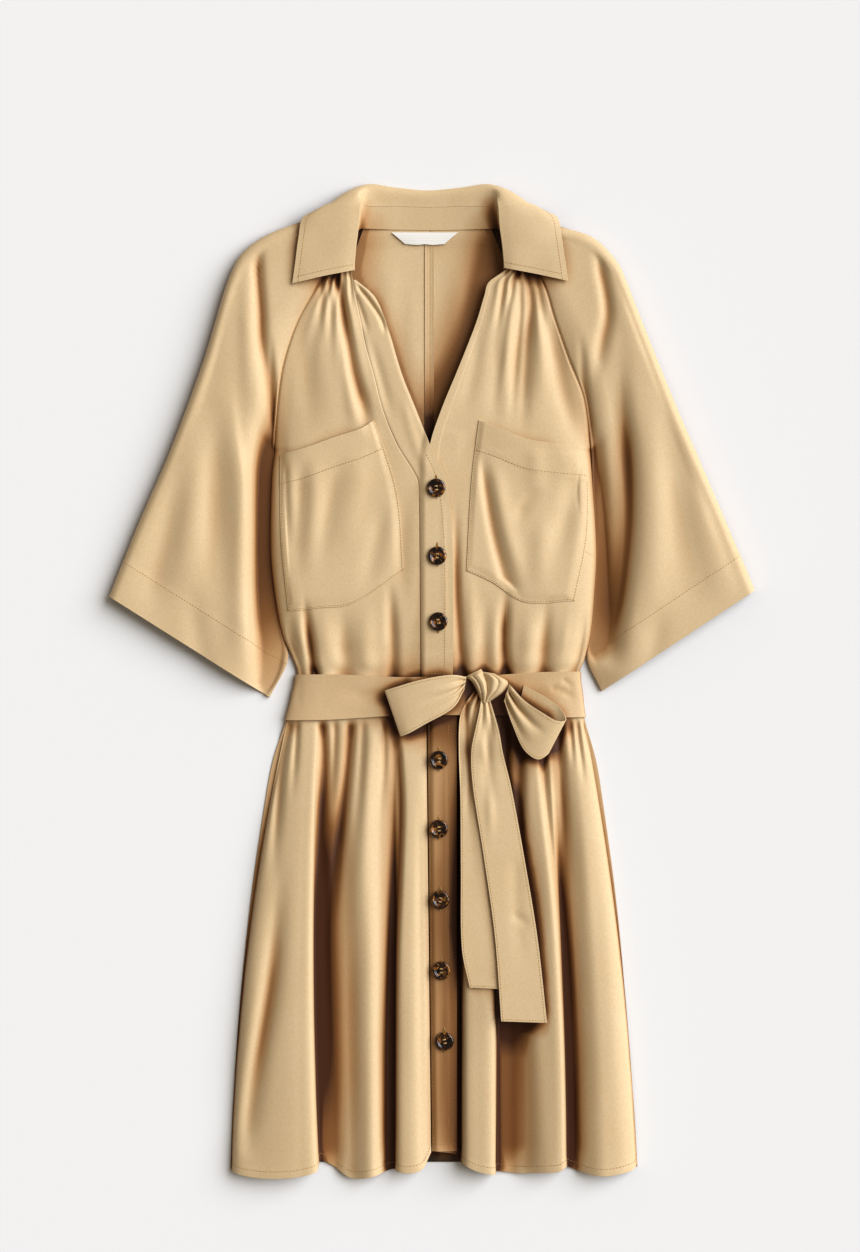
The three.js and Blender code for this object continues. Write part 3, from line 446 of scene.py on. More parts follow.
def polishedTortoiseshell():
    material, tree, surface, place3d = newMaterial("polished_tortoiseshell_resin")
    blotches = addNode(tree, "ShaderNodeTexNoise", {"Vector": place3d, "Scale": 1000 / resin["blotch"],
                                                    "Detail": 3.0, "Distortion": 1.4})
    ramp = addNode(tree, "ShaderNodeValToRGB", {"Fac": blotches.outputs["Fac"]})
    stops = ramp.color_ramp.elements
    stops[0].position, stops[0].color = resin["darkTo"], linear(resin["dark"])
    stops[1].position, stops[1].color = resin["amberFrom"], linear(resin["amber"])
    middle = stops.new(resin["brownAt"])
    middle.color = linear(resin["brown"])
    tree.links.new(ramp.outputs["Color"], surface.inputs["Base Color"])
    surface.inputs["Roughness"].default_value = 0.16
    surface.inputs["IOR"].default_value = 1.56
    surface.inputs["Coat Weight"].default_value = 0.6
    surface.inputs["Coat Roughness"].default_value = 0.05
    return material


# Satin label tape: fine polyester floats that catch the light in one direction, drawn about 1.6 mm
# apart, much coarser than they are, so that they show. Their lighter and darker tints are painted light
# and shade of the floats catching the light.
satin = {"low": "#F6F4F0", "high": "#EAE7E1", "rib": 1.6, "bumpHeight": 0.1}


def satinTape():
    material, tree, surface, place3d = newMaterial("satin_label_tape")
    ribs = addNode(tree, "ShaderNodeTexWave", {"Vector": place3d, "Scale": waves(satin["rib"]),
                                               "Distortion": 0.6}, wave_type="BANDS", bands_direction="Y")
    relief = addNode(tree, "ShaderNodeBump", {"Height": ribs.outputs["Fac"], "Strength": 0.2,
                                              "Distance": satin["bumpHeight"] * metre})
    # painted light and shade of the floats: the two tints follow the ribs
    tint = blend(tree, ribs.outputs["Fac"], linear(satin["low"]), linear(satin["high"]))
    tree.links.new(tint, surface.inputs["Base Color"])
    tree.links.new(relief.outputs[0], surface.inputs["Normal"])
    surface.inputs["Roughness"].default_value = 0.42
    surface.inputs["Sheen Weight"].default_value = 0.2
    return material


# Spun polyester sewing thread: two plies twisted together, slightly darker than the cloth it sinks
# into. The turns of the twist are drawn about 2 mm long so that they show; their lighter and darker
# bands are painted light and shade on the turns.
threadTwist = 1.8


def spunThread(name, light, dark):
    material, tree, surface, place3d = newMaterial(name)
    twist = addNode(tree, "ShaderNodeTexWave", {"Vector": place3d, "Scale": waves(threadTwist),
                                                "Distortion": 2.0}, wave_type="BANDS",
                    bands_direction="DIAGONAL")
    # painted light and shade along the turns of the twist
    tint = blend(tree, twist.outputs["Fac"], linear(dark), linear(light))
    tree.links.new(tint, surface.inputs["Base Color"])
    surface.inputs["Roughness"].default_value = 0.7
    return material


crepeCloth = wovenCrepe("woven_viscose_crepe")
tortoiseshell = polishedTortoiseshell()
labelSatin = satinTape()
sewingThread = spunThread("spun_polyester_thread", "#C2A06A", "#A38350")
buttonThread = spunThread("button_thread", "#D8BE90", "#B09060")
print("Materials made")

# The body: its outline below the underarm and how high the fronts stand

underarm = 255
bodySections = {
    "down": [255, 285, 352, 394, 435, 458, 470, 492, 515, 554, 597, 686, 790, 894, 948],
    "left": [-152, -155, -156, -152, -144, -134, -130, -134, -140, -153, -161, -174, -185, -192, -194],
    "right": [153, 155, 159, 157, 153, 147, 142, 144, 147, 158, 165, 177, 187, 195, 198],
    "crown": [13, 14, 15, 15, 13, 10, 8.5, 7.5, 8, 10, 11, 12, 13, 14, 14],
}
raglanSections = {
    "down": [42, 68, 95, 130, 170, 206, 255],
    "left": [-77, -93, -108, -128, -142, -148, -152],
    "right": [70, 89, 107, 118, 132, 146, 153],
    "backleft": [-66, -76, -90, -109, -127, -141, -152],
    "backright": [57, 68, 82, 101, 120, 138, 153],
    "lift": [8, 9, 9.5, 10, 10, 8, 3.2],
}
openingSections = {
    "down": [42, 55, 81, 95, 107, 132, 157, 183, 217, 251, 283, 300, 492],
    "leftSeam": [-75, -78.3, -78, -75.5, -73.5, -68, -63, -56, -47, -33, -14, -12, -10],
    "rightEdge": [68.5, 71.8, 72, 54.5, 50.5, 43, 33.5, 23, 9, -2, -4, -4, -4],
}
bandSections = {"down": [92, 109, 137, 183, 217, 251, 285, 352, 492],
                "edge": [-74, -55, -43, -29, -15.5, -2, 13, 20, 20]}


# The cloth climbs on to the belt's under layer within a short ramp above and below it
beltRamp = {"reach": 26, "length": 20}
# Down the last stretch above the underarm the fronts' edges draw in by half a wall
sideTurn = 23
# A front rises from its edges to its crown: how high the yoke stands, how far in the rise goes and how
# round it is, each from the neck to below the underarm, and where it changes
frontRise = {"yoke": (11, 13), "yokeFrom": 60, "yokeRun": 190, "reach": (60, 26), "reachAbove": 60,
             "reachRun": 90, "power": (1, 0.5), "powerAbove": 40, "powerRun": 60, "underBelt": 0.5}


def beltRise(down):
    above = ease((down - (dress["beltTop"] - beltRamp["reach"])) / beltRamp["length"])
    below = ease((dress["beltBottom"] + beltRamp["reach"] - down) / beltRamp["length"])
    return step * above * below


def outerEdge(side, down):
    body = column(bodySections, side.replace("back", ""), down)
    return np.where(np.asarray(down) < underarm, column(raglanSections, side, down), body)


def frontEdge(side, down):
    inset = half * ease((down - (underarm - sideTurn)) / sideTurn)
    return outerEdge(side, down) + (inset if side == "left" else -inset)


def edgeLift(down):
    seam = dress["seamLift"] + beltRise(down)
    raglan = np.maximum(half + step, column(raglanSections, "lift", down))
    return np.where(np.asarray(down) < underarm, raglan, seam)


def frontLift(across, down):
    f = frontRise
    inside = np.maximum(0, np.minimum(across - frontEdge("left", down), frontEdge("right", down) - across))
    low = edgeLift(down)
    yoke = mix(*f["yoke"], ease((down - f["yokeFrom"]) / f["yokeRun"]))
    crown = np.where(down < underarm, yoke, column(bodySections, "crown", down))
    reach = mix(*f["reach"], ease((down - underarm + f["reachAbove"]) / f["reachRun"]))
    power = mix(*f["power"], ease((down - underarm + f["powerAbove"]) / f["powerRun"]))
    s = np.clip(inside / reach, 0, 1)
    rise = np.maximum(0, crown + beltRise(down) * f["underBelt"] - low)
    return low + rise * (s * (2 - s)) ** power


gatherShape = {"share": 0.6, "spread": 0.5, "soft": 10, "before": 40}


def gatherLift(gathers, u, down):
    lift = 0
    for at, width, height, start, end in gathers:
        run = abs(end - start)
        gone = down - start if end > start else start - down
        begins = ease(gone / gatherShape["soft"]) if start > underarm else 1
        fade = (1 - ease(gone / run)) * begins * (gone > -gatherShape["before"])
        wide = width * (1 + gatherShape["spread"] * np.maximum(0, gone) / run)
        lift = lift + height * fade * bump(u, at, wide)
    return lift


def seamGroove(distance, deep=1.1, wide=1.4):
    return -deep * bump(distance, 0, wide)


# Gathers under the collar and above the belt: place across the panel, width, height, start and end down
leftGathers = [(0.22, 0.05, 2.2, 80, 190), (0.42, 0.06, 3.6, 80, 240), (0.62, 0.05, 3.2, 80, 260),
               (0.84, 0.06, 3.8, 80, 235), (0.16, 0.05, 2.6, 470, 405), (0.34, 0.06, 2.0, 470, 418),
               (0.58, 0.07, 2.4, 470, 396), (0.82, 0.05, 1.6, 470, 424)]
rightGathers = [(0.2, 0.05, 2.8, 84, 190), (0.36, 0.05, 3.2, 84, 215), (0.56, 0.06, 4.2, 84, 262),
                (0.78, 0.06, 3.0, 84, 240), (0.46, 0.05, 2.0, 470, 398), (0.62, 0.06, 3.0, 470, 385),
                (0.8, 0.06, 2.2, 470, 410), (0.91, 0.04, 2.0, 470, 425)]
leftCreases = [
    {"path": [(-93, 84), (-86, 117), (-80, 151), (-75, 181), (-66, 212), (-58, 246)], "wide": 3.8,
     "rise": -5.2, "fade": (0, 0.3), "spread": 0.7},
    {"path": [(-80, 86), (-79, 104), (-77, 132)], "wide": 2.4, "rise": -2.2, "fade": (0, 0.7)},
    {"path": [(-105, 86), (-106, 130), (-104, 190)], "wide": 2.8, "rise": -1.7, "fade": (0, 0.8),
     "spread": 1.2},
    {"path": [(-98, 86), (-98, 124), (-97, 170)], "wide": 2.3, "rise": -1.7, "fade": (0, 0.8),
     "spread": 1.0},
    {"path": [(-124, 104), (-122, 168), (-119, 210), (-116, 258)], "wide": 8, "rise": -1.2,
     "fade": (0.5, 0.4)},
    {"path": [(-103, 96), (-100, 170), (-92, 256)], "wide": 7, "rise": 1.0, "fade": (0.3, 0.5)},
    {"path": [(-87, 130), (-79, 200), (-70, 246)], "wide": 5, "rise": 1.9, "fade": (0.4, 0.3)},
    {"path": [(-143, 226), (-143, 290), (-140, 360)], "wide": 4.5, "rise": -1.4, "fade": (0.4, 0.4)},
    {"path": [(-123, 392), (-118, 436), (-112, 478)], "wide": 4, "rise": -7, "fade": (0.6, 0),
     "spread": 0.2},
    {"path": [(-104, 392), (-103, 440), (-101, 478)], "wide": 8, "rise": 1.8, "fade": (0.6, 0)},
    {"path": [(-138, 404), (-134, 440), (-128, 478)], "wide": 5, "rise": -2.4, "fade": (0.5, 0)},
    {"path": [(-84, 398), (-84, 440), (-84, 478)], "wide": 7, "rise": -2.2, "fade": (0.6, 0)},
    {"path": [(-62, 390), (-63, 440), (-64, 478)], "wide": 8, "rise": 1.5, "fade": (0.6, 0)},
    {"path": [(-41, 372), (-38, 430), (-37, 478)], "wide": 4.6, "rise": -3.8, "fade": (0.6, 0)},
    {"path": [(-24, 290), (-29, 350), (-27, 420)], "wide": 7, "rise": -1.2, "fade": (0.4, 0.4)},
]
rightCreases = [
    {"path": [(72, 86), (67, 112), (61, 150)], "wide": 2.3, "rise": -2.2, "fade": (0, 0.7), "spread": 0.8},
    {"path": [(80, 86), (73, 120), (67, 160)], "wide": 2.4, "rise": -2.2, "fade": (0, 0.7), "spread": 0.8},
    {"path": [(84, 84), (85, 127), (80, 180), (76, 246)], "wide": 3.2, "rise": -4.2, "fade": (0, 0.5),
     "spread": 0.7},
    {"path": [(93, 86), (96, 116), (91, 153), (89, 190), (86, 250)], "wide": 4.8, "rise": -4.6,
     "fade": (0, 0.4), "spread": 0.5},
    {"path": [(101, 90), (105, 120), (108, 160)], "wide": 2.8, "rise": -1.8, "fade": (0, 0.7),
     "spread": 0.8},
    {"path": [(66, 130), (63, 190), (58, 240)], "wide": 7, "rise": -1.8, "fade": (0.4, 0.4)},
    {"path": [(112, 120), (124, 192), (142, 254)], "wide": 7, "rise": -2.4, "fade": (0.4, 0.4)},
    {"path": [(78, 100), (72, 161), (63, 226)], "wide": 3.6, "rise": 1.8, "fade": (0.2, 0.5)},
    {"path": [(100, 110), (104, 160), (106, 230)], "wide": 6, "rise": 1.8, "fade": (0.3, 0.5)},
    {"path": [(48, 130), (40, 180), (27, 230)], "wide": 6, "rise": -1.2, "fade": (0.4, 0.4)},
    {"path": [(72, 384), (69, 443), (72, 478)], "wide": 4.4, "rise": -6.6, "fade": (0.5, 0), "spread": 0.2},
    {"path": [(93, 400), (93, 440), (92, 478)], "wide": 8, "rise": 1.8, "fade": (0.6, 0)},
    {"path": [(112, 392), (108, 440), (107, 478)], "wide": 5.5, "rise": -3.8, "fade": (0.6, 0)},
    {"path": [(130, 400), (127, 440), (122, 478)], "wide": 5, "rise": 1.2, "fade": (0.6, 0)},
    {"path": [(148, 404), (142, 446), (136, 478)], "wide": 4, "rise": -2.8, "fade": (0.5, 0)},
    {"path": [(52, 390), (51, 440), (50, 478)], "wide": 5, "rise": -2, "fade": (0.6, 0)},
    {"path": [(23, 300), (24, 390), (27, 437), (30, 480)], "wide": 3.4, "rise": -3.4, "fade": (0.5, 0)},
    {"path": [(36, 360), (38, 420), (40, 478)], "wide": 5, "rise": 1.4, "fade": (0.5, 0)},
]


# Beneath the button band, where the opening has closed, the right front has no gathers or creases
bandCover = {"from": 240, "edge": 22, "soft": 14, "creaseEdge": 17, "creaseSoft": 6}


def leftFront(across, down):
    left, right = outerEdge("left", down), column(openingSections, "leftSeam", down)
    u = (across - left) / (right - left)
    hold = ease(u / 0.12) * ease((1 - u) / 0.08)
    lift = frontLift(across, down) + gatherShape["share"] * gatherLift(leftGathers, u, down) * hold
    lift = lift + creased(across, down, leftCreases) * ease(u / 0.05) * ease((1 - u) / 0.06)
    return lift + ripple(across, down, 1.0) * hold


def rightFront(across, down):
    left, right = column(openingSections, "rightEdge", down), outerEdge("right", down)
    u = (across - left) / (right - left)
    c = bandCover
    covered = down > c["from"]
    atBand = np.where(covered, ease((across - c["edge"]) / c["soft"]), ease(u / 0.12))
    free = np.where(covered, ease((across - c["creaseEdge"]) / c["creaseSoft"]), ease(u / 0.06))
    atSeam = ease((1 - u) / 0.1)
    gathers = gatherShape["share"] * gatherLift(rightGathers, u, down) * atBand * atSeam
    lift = frontLift(across, down) + gathers
    lift = lift + creased(across, down, rightCreases) * free * ease((1 - u) / 0.05)
    return lift + ripple(across, down, 2.0) * atBand * atSeam


# Patch pockets with a hem at the mouth

pockets = {
    "left": {"top": [(-146, 261), (-127, 256), (-96, 245), (-67, 235), (-56, 228)],
             "right": [(-56, 228), (-44, 260), (-33, 299), (-27, 372)],
             "bottom": [(-138, 411), (-108, 408), (-77, 404), (-27, 372)],
             "left": [(-146, 261), (-145, 337), (-138, 411)],
             "creases": [
                 {"path": [(-128, 252), (-126, 300), (-130, 350), (-131, 404)], "wide": 9, "rise": -2.8,
                  "fade": (0.3, 0.4)},
                 {"path": [(-84, 250), (-96, 300), (-106, 350), (-108, 392)], "wide": 8, "rise": -1.5,
                  "fade": (0.4, 0.5)},
                 {"path": [(-66, 250), (-76, 310), (-86, 372)], "wide": 11, "rise": 1.6,
                  "fade": (0.3, 0.4)},
                 {"path": [(-112, 256), (-114, 310), (-118, 380)], "wide": 8, "rise": 1.4,
                  "fade": (0.3, 0.5)},
                 {"path": [(-46, 300), (-54, 350), (-68, 398)], "wide": 8, "rise": -1.8,
                  "fade": (0.4, 0.4)},
                 {"path": [(-140, 262), (-139, 300), (-137, 360)], "wide": 3, "rise": -1.4,
                  "fade": (0.2, 0.5)}]},
    "right": {"top": [(45, 228), (64, 235), (92, 246), (120, 250), (149, 253)],
              "right": [(149, 253), (149, 337), (137, 401)],
              "bottom": [(33, 372), (57, 383), (88, 402), (137, 401)],
              "left": [(45, 228), (38, 285), (33, 372)],
              "creases": [
                  {"path": [(47, 256), (53, 298), (60, 337), (70, 376), (78, 408)], "wide": 5, "rise": -3.8,
                   "lean": 0.2, "fade": (0.25, 0.15), "spread": 0.6},
                  {"path": [(58, 262), (68, 325), (82, 375), (90, 404)], "wide": 8, "rise": 2,
                   "fade": (0.35, 0.4)},
                  {"path": [(80, 330), (90, 308), (108, 292)], "wide": 6, "rise": -1.4, "fade": (0.4, 0.4)},
                  {"path": [(140, 266), (130, 320), (116, 372)], "wide": 9, "rise": -2.8,
                   "fade": (0.3, 0.5)},
                  {"path": [(108, 310), (104, 360), (102, 404)], "wide": 9, "rise": 1.8,
                   "fade": (0.4, 0.4)},
                  {"path": [(145, 256), (144, 284), (143, 320)], "wide": 3, "rise": -1.6,
                   "fade": (0.2, 0.5)},
                  {"path": [(98, 250), (100, 280), (96, 320)], "wide": 8, "rise": 1.2,
                   "fade": (0.2, 0.5)}]},
}
pocketShape = {"mouth": 2.2, "hem": 29, "sewn": 0.58, "full": 1.5, "room": 5.0}


def insidePocket(side, across, down):
    # distance in from the edges of a pocket, nothing outside it
    p = pockets[side]
    edge = []
    for name, back in (("top", False), ("right", False), ("bottom", True), ("left", True)):
        line = through(p[name], np.linspace(0, 1, 16))
        edge.append(line[::-1] if back else line)
    ring = np.concatenate(edge)
    nearest = np.full(across.shape, 1e9)
    crossings = np.zeros(across.shape, int)
    for (x0, y0), (x1, y1) in zip(ring, np.roll(ring, -1, axis=0)):
        run = math.hypot(x1 - x0, y1 - y0)
        if run < 1e-6:
            continue
        along = np.clip(((across - x0) * (x1 - x0) + (down - y0) * (y1 - y0)) / run ** 2, 0, 1)
        dx, dy = across - x0 - along * (x1 - x0), down - y0 - along * (y1 - y0)
        nearest = np.minimum(nearest, np.hypot(dx, dy))
        if y0 != y1:
            at = x0 + (down - y0) * (x1 - x0) / (y1 - y0)
            crossings += ((down >= min(y0, y1)) & (down < max(y0, y1)) & (at > across))
    return np.where(crossings % 2 == 1, nearest, 0.0)


def frontGrid(lefts, rights, surface, downs, us):
    down = np.asarray(downs, float)[:, None]
    across = mix(lefts(down), rights(down), np.asarray(us)[None, :])
    down = np.broadcast_to(down, across.shape)
    return place(across, down, surface(across, down))


def bodiceDowns(start, count):
    return mix(start, dress["waist"] - 0.1, steps(count))


# the bust darts, short seams from the sides
darts = [{"surface": leftFront, "from": (-155, 371), "to": (-148, 368)},
         {"surface": rightFront, "from": (141, 351), "to": (155, 358)}]


def frontBodices():
    seamAbove = lambda down: ease((underarm - 4 - down) / 12)

    def left(across, down):
        raglan = across - outerEdge("left", down)
        band = column(openingSections, "leftSeam", down) - across
        under = pocketShape["room"] * ease((insidePocket("left", across, down) - 5) / 8)
        lift = leftFront(across, down) - under + seamGroove(raglan) * seamAbove(down)
        return lift + seamGroove(band, 0.4, 0.9)

    def right(across, down):
        raglan = outerEdge("right", down) - across
        under = pocketShape["room"] * ease((insidePocket("right", across, down) - 5) / 8)
        return rightFront(across, down) - under + seamGroove(raglan) * seamAbove(down)

    leftGrid = frontGrid(lambda d: frontEdge("left", d) + 0.05,
                         lambda d: column(openingSections, "leftSeam", d) - 0.05,
                         left, bodiceDowns(46, 170), steps(96, 0.6, 0.6))
    rightGrid = frontGrid(lambda d: column(openingSections, "rightEdge", d),
                          lambda d: frontEdge("right", d) - 0.05,
                          right, bodiceDowns(46, 170), steps(104, 0.6, 0.6))
    clothPiece("front_bodice_left", leftGrid, crepeCloth, dress["cloth"])
    # the right front's edge is turned in beneath the band, so its first columns are doubled
    edgeFold = np.where(np.arange(rightGrid.shape[1])[None, :] < 14, dress["doubled"], dress["cloth"])
    clothPiece("front_bodice_right", rightGrid, crepeCloth, edgeFold)
    for dart in darts:
        along = np.linspace(0, 1, 12)
        across = mix(dart["from"][0], dart["to"][0], along)
        down = mix(dart["from"][1], dart["to"][1], along)
        points = place(across, down, dart["surface"](across, down) + 0.25)
        upright = np.tile([0, 0, 1.0], (len(along), 1))
        sew(np.concatenate([points, upright], axis=1), pitch=2.2, length=1.9, width=0.4)
    print("Front bodices made")


# The button band of the bodice, over the right front's edge below the opening
bandCreases = [
    {"path": [(-72, 98), (-60, 113), (-49, 130), (-44, 148)], "wide": 1.8, "rise": -3.2,
     "fade": (0.1, 0.3)},
    {"path": [(-75, 104), (-68, 122), (-60, 150)], "wide": 2.4, "rise": -1.6, "fade": (0.1, 0.5)},
    {"path": [(-62, 140), (-48, 190), (-36, 236)], "wide": 4.5, "rise": -1.4, "fade": (0.4, 0.4)},
    {"path": [(-30, 200), (-16, 250), (0, 288)], "wide": 4, "rise": 0.8, "fade": (0.3, 0.3)},
    {"path": [(10, 300), (14, 470)], "wide": 2, "rise": 0.3},
]


def bandLift(across, down):
    under = column(openingSections, "rightEdge", down)
    over = np.where(down < 230, 0, ease((across - under + 9) / 7) * ease((down - 228) / 14))
    return frontLift(across, down) + (step + 0.2) * over


def bodiceBand():
    left = lambda down: column(openingSections, "leftSeam", down) + 0.1
    right = lambda down: np.maximum(left(down) + 1.5, column(bandSections, "edge", down))

    def surface(across, down):
        seam = across - left(down)
        roll = -0.9 * bump(right(down) - across, 0, 1.8) * ease((250 - down) / 30)
        lift = bandLift(across, down) + 0.1 + creased(across, down, bandCreases)
        return lift + seamGroove(seam, 0.3, 0.8) + roll

    grid = frontGrid(left, right, surface, bodiceDowns(93, 200), steps(26, 0.3, 0.3))
    clothPiece("button_band_bodice", grid, crepeCloth, dress["doubled"])
    sew(lineFrom(grid, "right", 8.2, 0.42, 0.985, dress["doubled"]))
    sew(lineFrom(grid, "bottom", 21, 0.03, 0.72, dress["doubled"]))


# The skirt: fold lines from the belt to the hem

leftSkirtFolds = {
    "top": [-138.9, -136.4, -128, -118, -110.5, -108, -102, -86, -62, -48, -38, -33, -24, -13, -5.5],
    "hem": [-193.2, -189, -162, -128, -111, -107.5, -95, -78, -58, -45, -37, -32, -22, -10, -1],
    "end": [948, 951, 955, 953, 948, 940, 945, 956, 954, 950, 948, 949, 950, 947, 931],
    "lift": [2.9, 10, 16, 20, 18.5, 3.2, 3.4, 8.5, 15, 7, 3.2, 14, 16.6, 15, 9.2],
    "bow": [-11, -10, -7, -5, -5, -5, -1, 0, 0, 0, 0, 0, 0, 0, 0],
}
rightSkirtFolds = {
    "top": [0, 22, 27, 31, 43, 56, 61, 76, 92, 104, 109, 114, 123, 134, 143.6, 146.1],
    "hem": [5, 23, 27, 30.5, 44, 59, 62.5, 82, 104, 122, 127, 131.5, 143, 166, 192, 197.2],
    "end": [931, 934, 940, 942, 948, 951, 950, 952, 950, 948, 945, 946, 950, 953, 948, 944],
    "lift": [6.6, 5.5, 6, 16, 19.5, 18.5, 3.2, 6, 13.5, 18.5, 17, 3.2, 7.5, 18, 11, 2.9],
    "bow": [0, 0, 0, 0, 0, 1, 2, 3, 4, 4, 4, 4, 5, 6, 8, 8],
}
leftSkirtCreases = [
    {"path": [(-135, 513), (-143, 550), (-148, 600), (-154, 680)], "wide": 4.4, "rise": -4.2,
     "fade": (0, 0.6)},
    {"path": [(-129, 513), (-131, 546), (-135, 600)], "wide": 3, "rise": -2.4, "fade": (0, 0.7)},
    {"path": [(-143, 640), (-154, 766), (-170, 856), (-184, 950)], "wide": 8, "rise": -4.6,
     "fade": (0.4, 0.2)},
    {"path": [(-162, 720), (-178, 860), (-188, 950)], "wide": 7, "rise": 1.8, "fade": (0.5, 0.1)},
    {"path": [(-106, 513), (-103, 556), (-106, 616), (-110, 664)], "wide": 4, "rise": -5, "fade": (0, 0.5)},
    {"path": [(-105, 600), (-108, 664), (-109, 760), (-107, 827), (-104, 886), (-101, 962)], "wide": 6,
     "rise": -5, "lean": 0.3, "spread": 0.2, "fade": (0.3, 0)},
    {"path": [(-93, 513), (-94, 550), (-98, 610)], "wide": 3, "rise": -2.4, "fade": (0, 0.7)},
    {"path": [(-78, 513), (-81, 556), (-86, 601), (-92, 650), (-98, 720)], "wide": 4.6, "rise": -4.8,
     "fade": (0, 0.45), "lean": 0.2},
    {"path": [(-66, 513), (-68, 560), (-75, 650)], "wide": 3.4, "rise": -2.2, "fade": (0, 0.7)},
    {"path": [(-56, 513), (-62, 587), (-68, 676), (-66, 760)], "wide": 7, "rise": 2.2, "fade": (0.1, 0.5)},
    {"path": [(-74, 660), (-76, 780), (-74, 962)], "wide": 8, "rise": -1.6, "fade": (0.5, 0)},
    {"path": [(-36, 513), (-32, 556), (-30, 600), (-32, 660), (-37, 760), (-40, 962)], "wide": 4.6,
     "rise": -5.5, "lean": -0.3, "spread": 0.2, "fade": (0.1, 0)},
    {"path": [(-46, 513), (-46, 560), (-50, 620)], "wide": 3, "rise": -2, "fade": (0, 0.7)},
    {"path": [(-12, 560), (-11, 760), (-8, 940)], "wide": 3.4, "rise": -1.4, "fade": (0.4, 0)},
]
rightSkirtCreases = [
    {"path": [(28, 513), (28, 700), (28, 800), (28, 962)], "wide": 2.6, "rise": -3.4, "fade": (0, 0)},
    {"path": [(62, 600), (65, 720), (67, 775), (68, 861), (69, 964)], "wide": 6, "rise": -5, "lean": 0.4,
     "fade": (0.3, 0)},
    {"path": [(92, 640), (98, 760), (104, 860), (108, 958)], "wide": 8, "rise": 1.4, "fade": (0.4, 0)},
    {"path": [(79, 640), (84, 760), (88, 860), (92, 958)], "wide": 8, "rise": -1.4, "fade": (0.4, 0)},
    {"path": [(106, 513), (107, 556), (111, 602), (118, 659), (124, 717), (130, 803), (133, 861), (135, 964)],
     "wide": 4.6, "rise": -5.5, "lean": 0.2, "fade": (0.08, 0)},
    {"path": [(121, 513), (124, 560), (128, 620), (130, 690)], "wide": 4, "rise": -3, "fade": (0, 0.6)},
    {"path": [(133, 512), (134, 530), (136, 566)], "wide": 2.3, "rise": -3.2, "fade": (0, 0.7)},
    {"path": [(139, 512), (141, 532), (147, 584)], "wide": 2.3, "rise": -3.4, "fade": (0, 0.7)},
    {"path": [(144.5, 511), (148, 530), (154, 570)], "wide": 2, "rise": -2.4, "fade": (0, 0.7)},
    {"path": [(152, 600), (158, 720), (164, 840), (170, 958)], "wide": 9, "rise": -1.6, "fade": (0.4, 0)},
    {"path": [(86, 513), (84, 590), (84, 690)], "wide": 4.6, "rise": -4, "fade": (0, 0.6)},
    {"path": [(70, 513), (72, 570), (74, 660)], "wide": 4.6, "rise": -3.4, "fade": (0, 0.6)},
    {"path": [(46, 513), (46, 600), (48, 700)], "wide": 5, "rise": -2, "fade": (0, 0.6)},
]


def skirtGrid(folds, creases, rows, columns, seed):
    f = {key: np.asarray(value, float) for key, value in folds.items()}
    controls = []

    def seamAt(down):
        return np.where(f["top"] < 0, outerEdge("left", down), outerEdge("right", down))

    # the first rows lie beneath the belt
    for down in (dress["waist"] + 0.1, 497.0, 503.0, 508.0):
        across = f["top"] * seamAt(down) / seamAt(dress["beltBottom"])
        controls.append(place(across, np.full(len(across), down), frontLift(across, down)))
    waistLift = frontLift(f["top"], np.full(len(f["top"]), float(dress["beltBottom"])))
    outer = (np.arange(len(f["top"])) % (len(f["top"]) - 1) == 0) & (np.abs(f["top"]) > 100)
    for v in steps(rows, 0.35, 0.0):
        across = mix(f["top"], f["hem"], v) + f["bow"] * 4 * v * (1 - v)
        down = mix(float(dress["beltBottom"]), f["end"], v)
        lift = mix(waistLift, f["lift"], 1 - (1 - v) ** 2.2)
        lift = np.where(outer, dress["seamLift"] + beltRise(down), lift)
        controls.append(place(across, down, lift))
    grid = np.swapaxes(through(np.swapaxes(np.array(controls), 0, 1), steps(columns)), 0, 1)
    across, down = grid[..., 0], dress["length"] / 2 - grid[..., 1]
    u = steps(columns)[None, :]
    hold = ease((down - 512) / 12) * ease(u / 0.03) * ease((1 - u) / 0.03)
    grid[..., 2] += hold * (creased(across, down, creases) + 1.4 * ripple(across, down, seed))
    # no trough reaches down to the back skirt
    floor = half + 1.7
    grid[..., 2] = floor + np.logaddexp(0, (grid[..., 2] - floor) / 0.8) * 0.8 - 0.3
    return grid


def fromHem(grid):
    # how far each point lies from the last row, along the cloth
    far = np.linalg.norm(np.diff(grid, axis=0), axis=-1)[::-1].cumsum(axis=0)[::-1]
    return np.concatenate([far, np.zeros((1, grid.shape[1]))])


def hemThickness(grid, width):
    # the hem is turned up twice, so its last stretch is thicker
    return mix(dress["cloth"], dress["hemmed"], 1 - ease((fromHem(grid) - width + 0.6) / 1.2))


leftSkirt = skirtGrid(leftSkirtFolds, leftSkirtCreases, 170, 170, 3.0)
rightSkirt = skirtGrid(rightSkirtFolds, rightSkirtCreases, 170, 170, 4.0)
skirtHem = 8.0


def skirtFronts():
    for node, grid in (("skirt_front_left", leftSkirt), ("skirt_front_right", rightSkirt)):
        clothPiece(node, grid, crepeCloth, hemThickness(grid, skirtHem))
        sew(lineFrom(grid, "bottom", skirtHem - 1.2, 0.0, 1.0, dress["hemmed"]))
    print("Skirt fronts made")


# The skirt's button band: its hem and free edge, its seam at the belt and at the hem, and its fall
skirtBandShape = {"hem": 930, "frontHem": 931, "edge": 24, "seam": (-5.5, -1), "inset": 1.1, "lift": 9,
                  "fall": 2.4}


def skirtBandLift(across, down):
    # the height of the band's cloth below the belt, and where its seam runs
    s = skirtBandShape
    v = np.maximum(0, (down - dress["beltBottom"]) / (s["frontHem"] - dress["beltBottom"]))
    seam = mix(*s["seam"], v) + s["inset"]
    waist = frontLift(np.zeros_like(down), np.full_like(down, float(dress["beltBottom"])))
    skirt = mix(waist, s["lift"], 1 - (1 - v) ** 2.2)
    base = np.where(down < dress["beltBottom"], frontLift(across, down), skirt)
    return base + step * ease((across - seam) / 6) - s["fall"] * v * ease((across - seam) / 22), seam


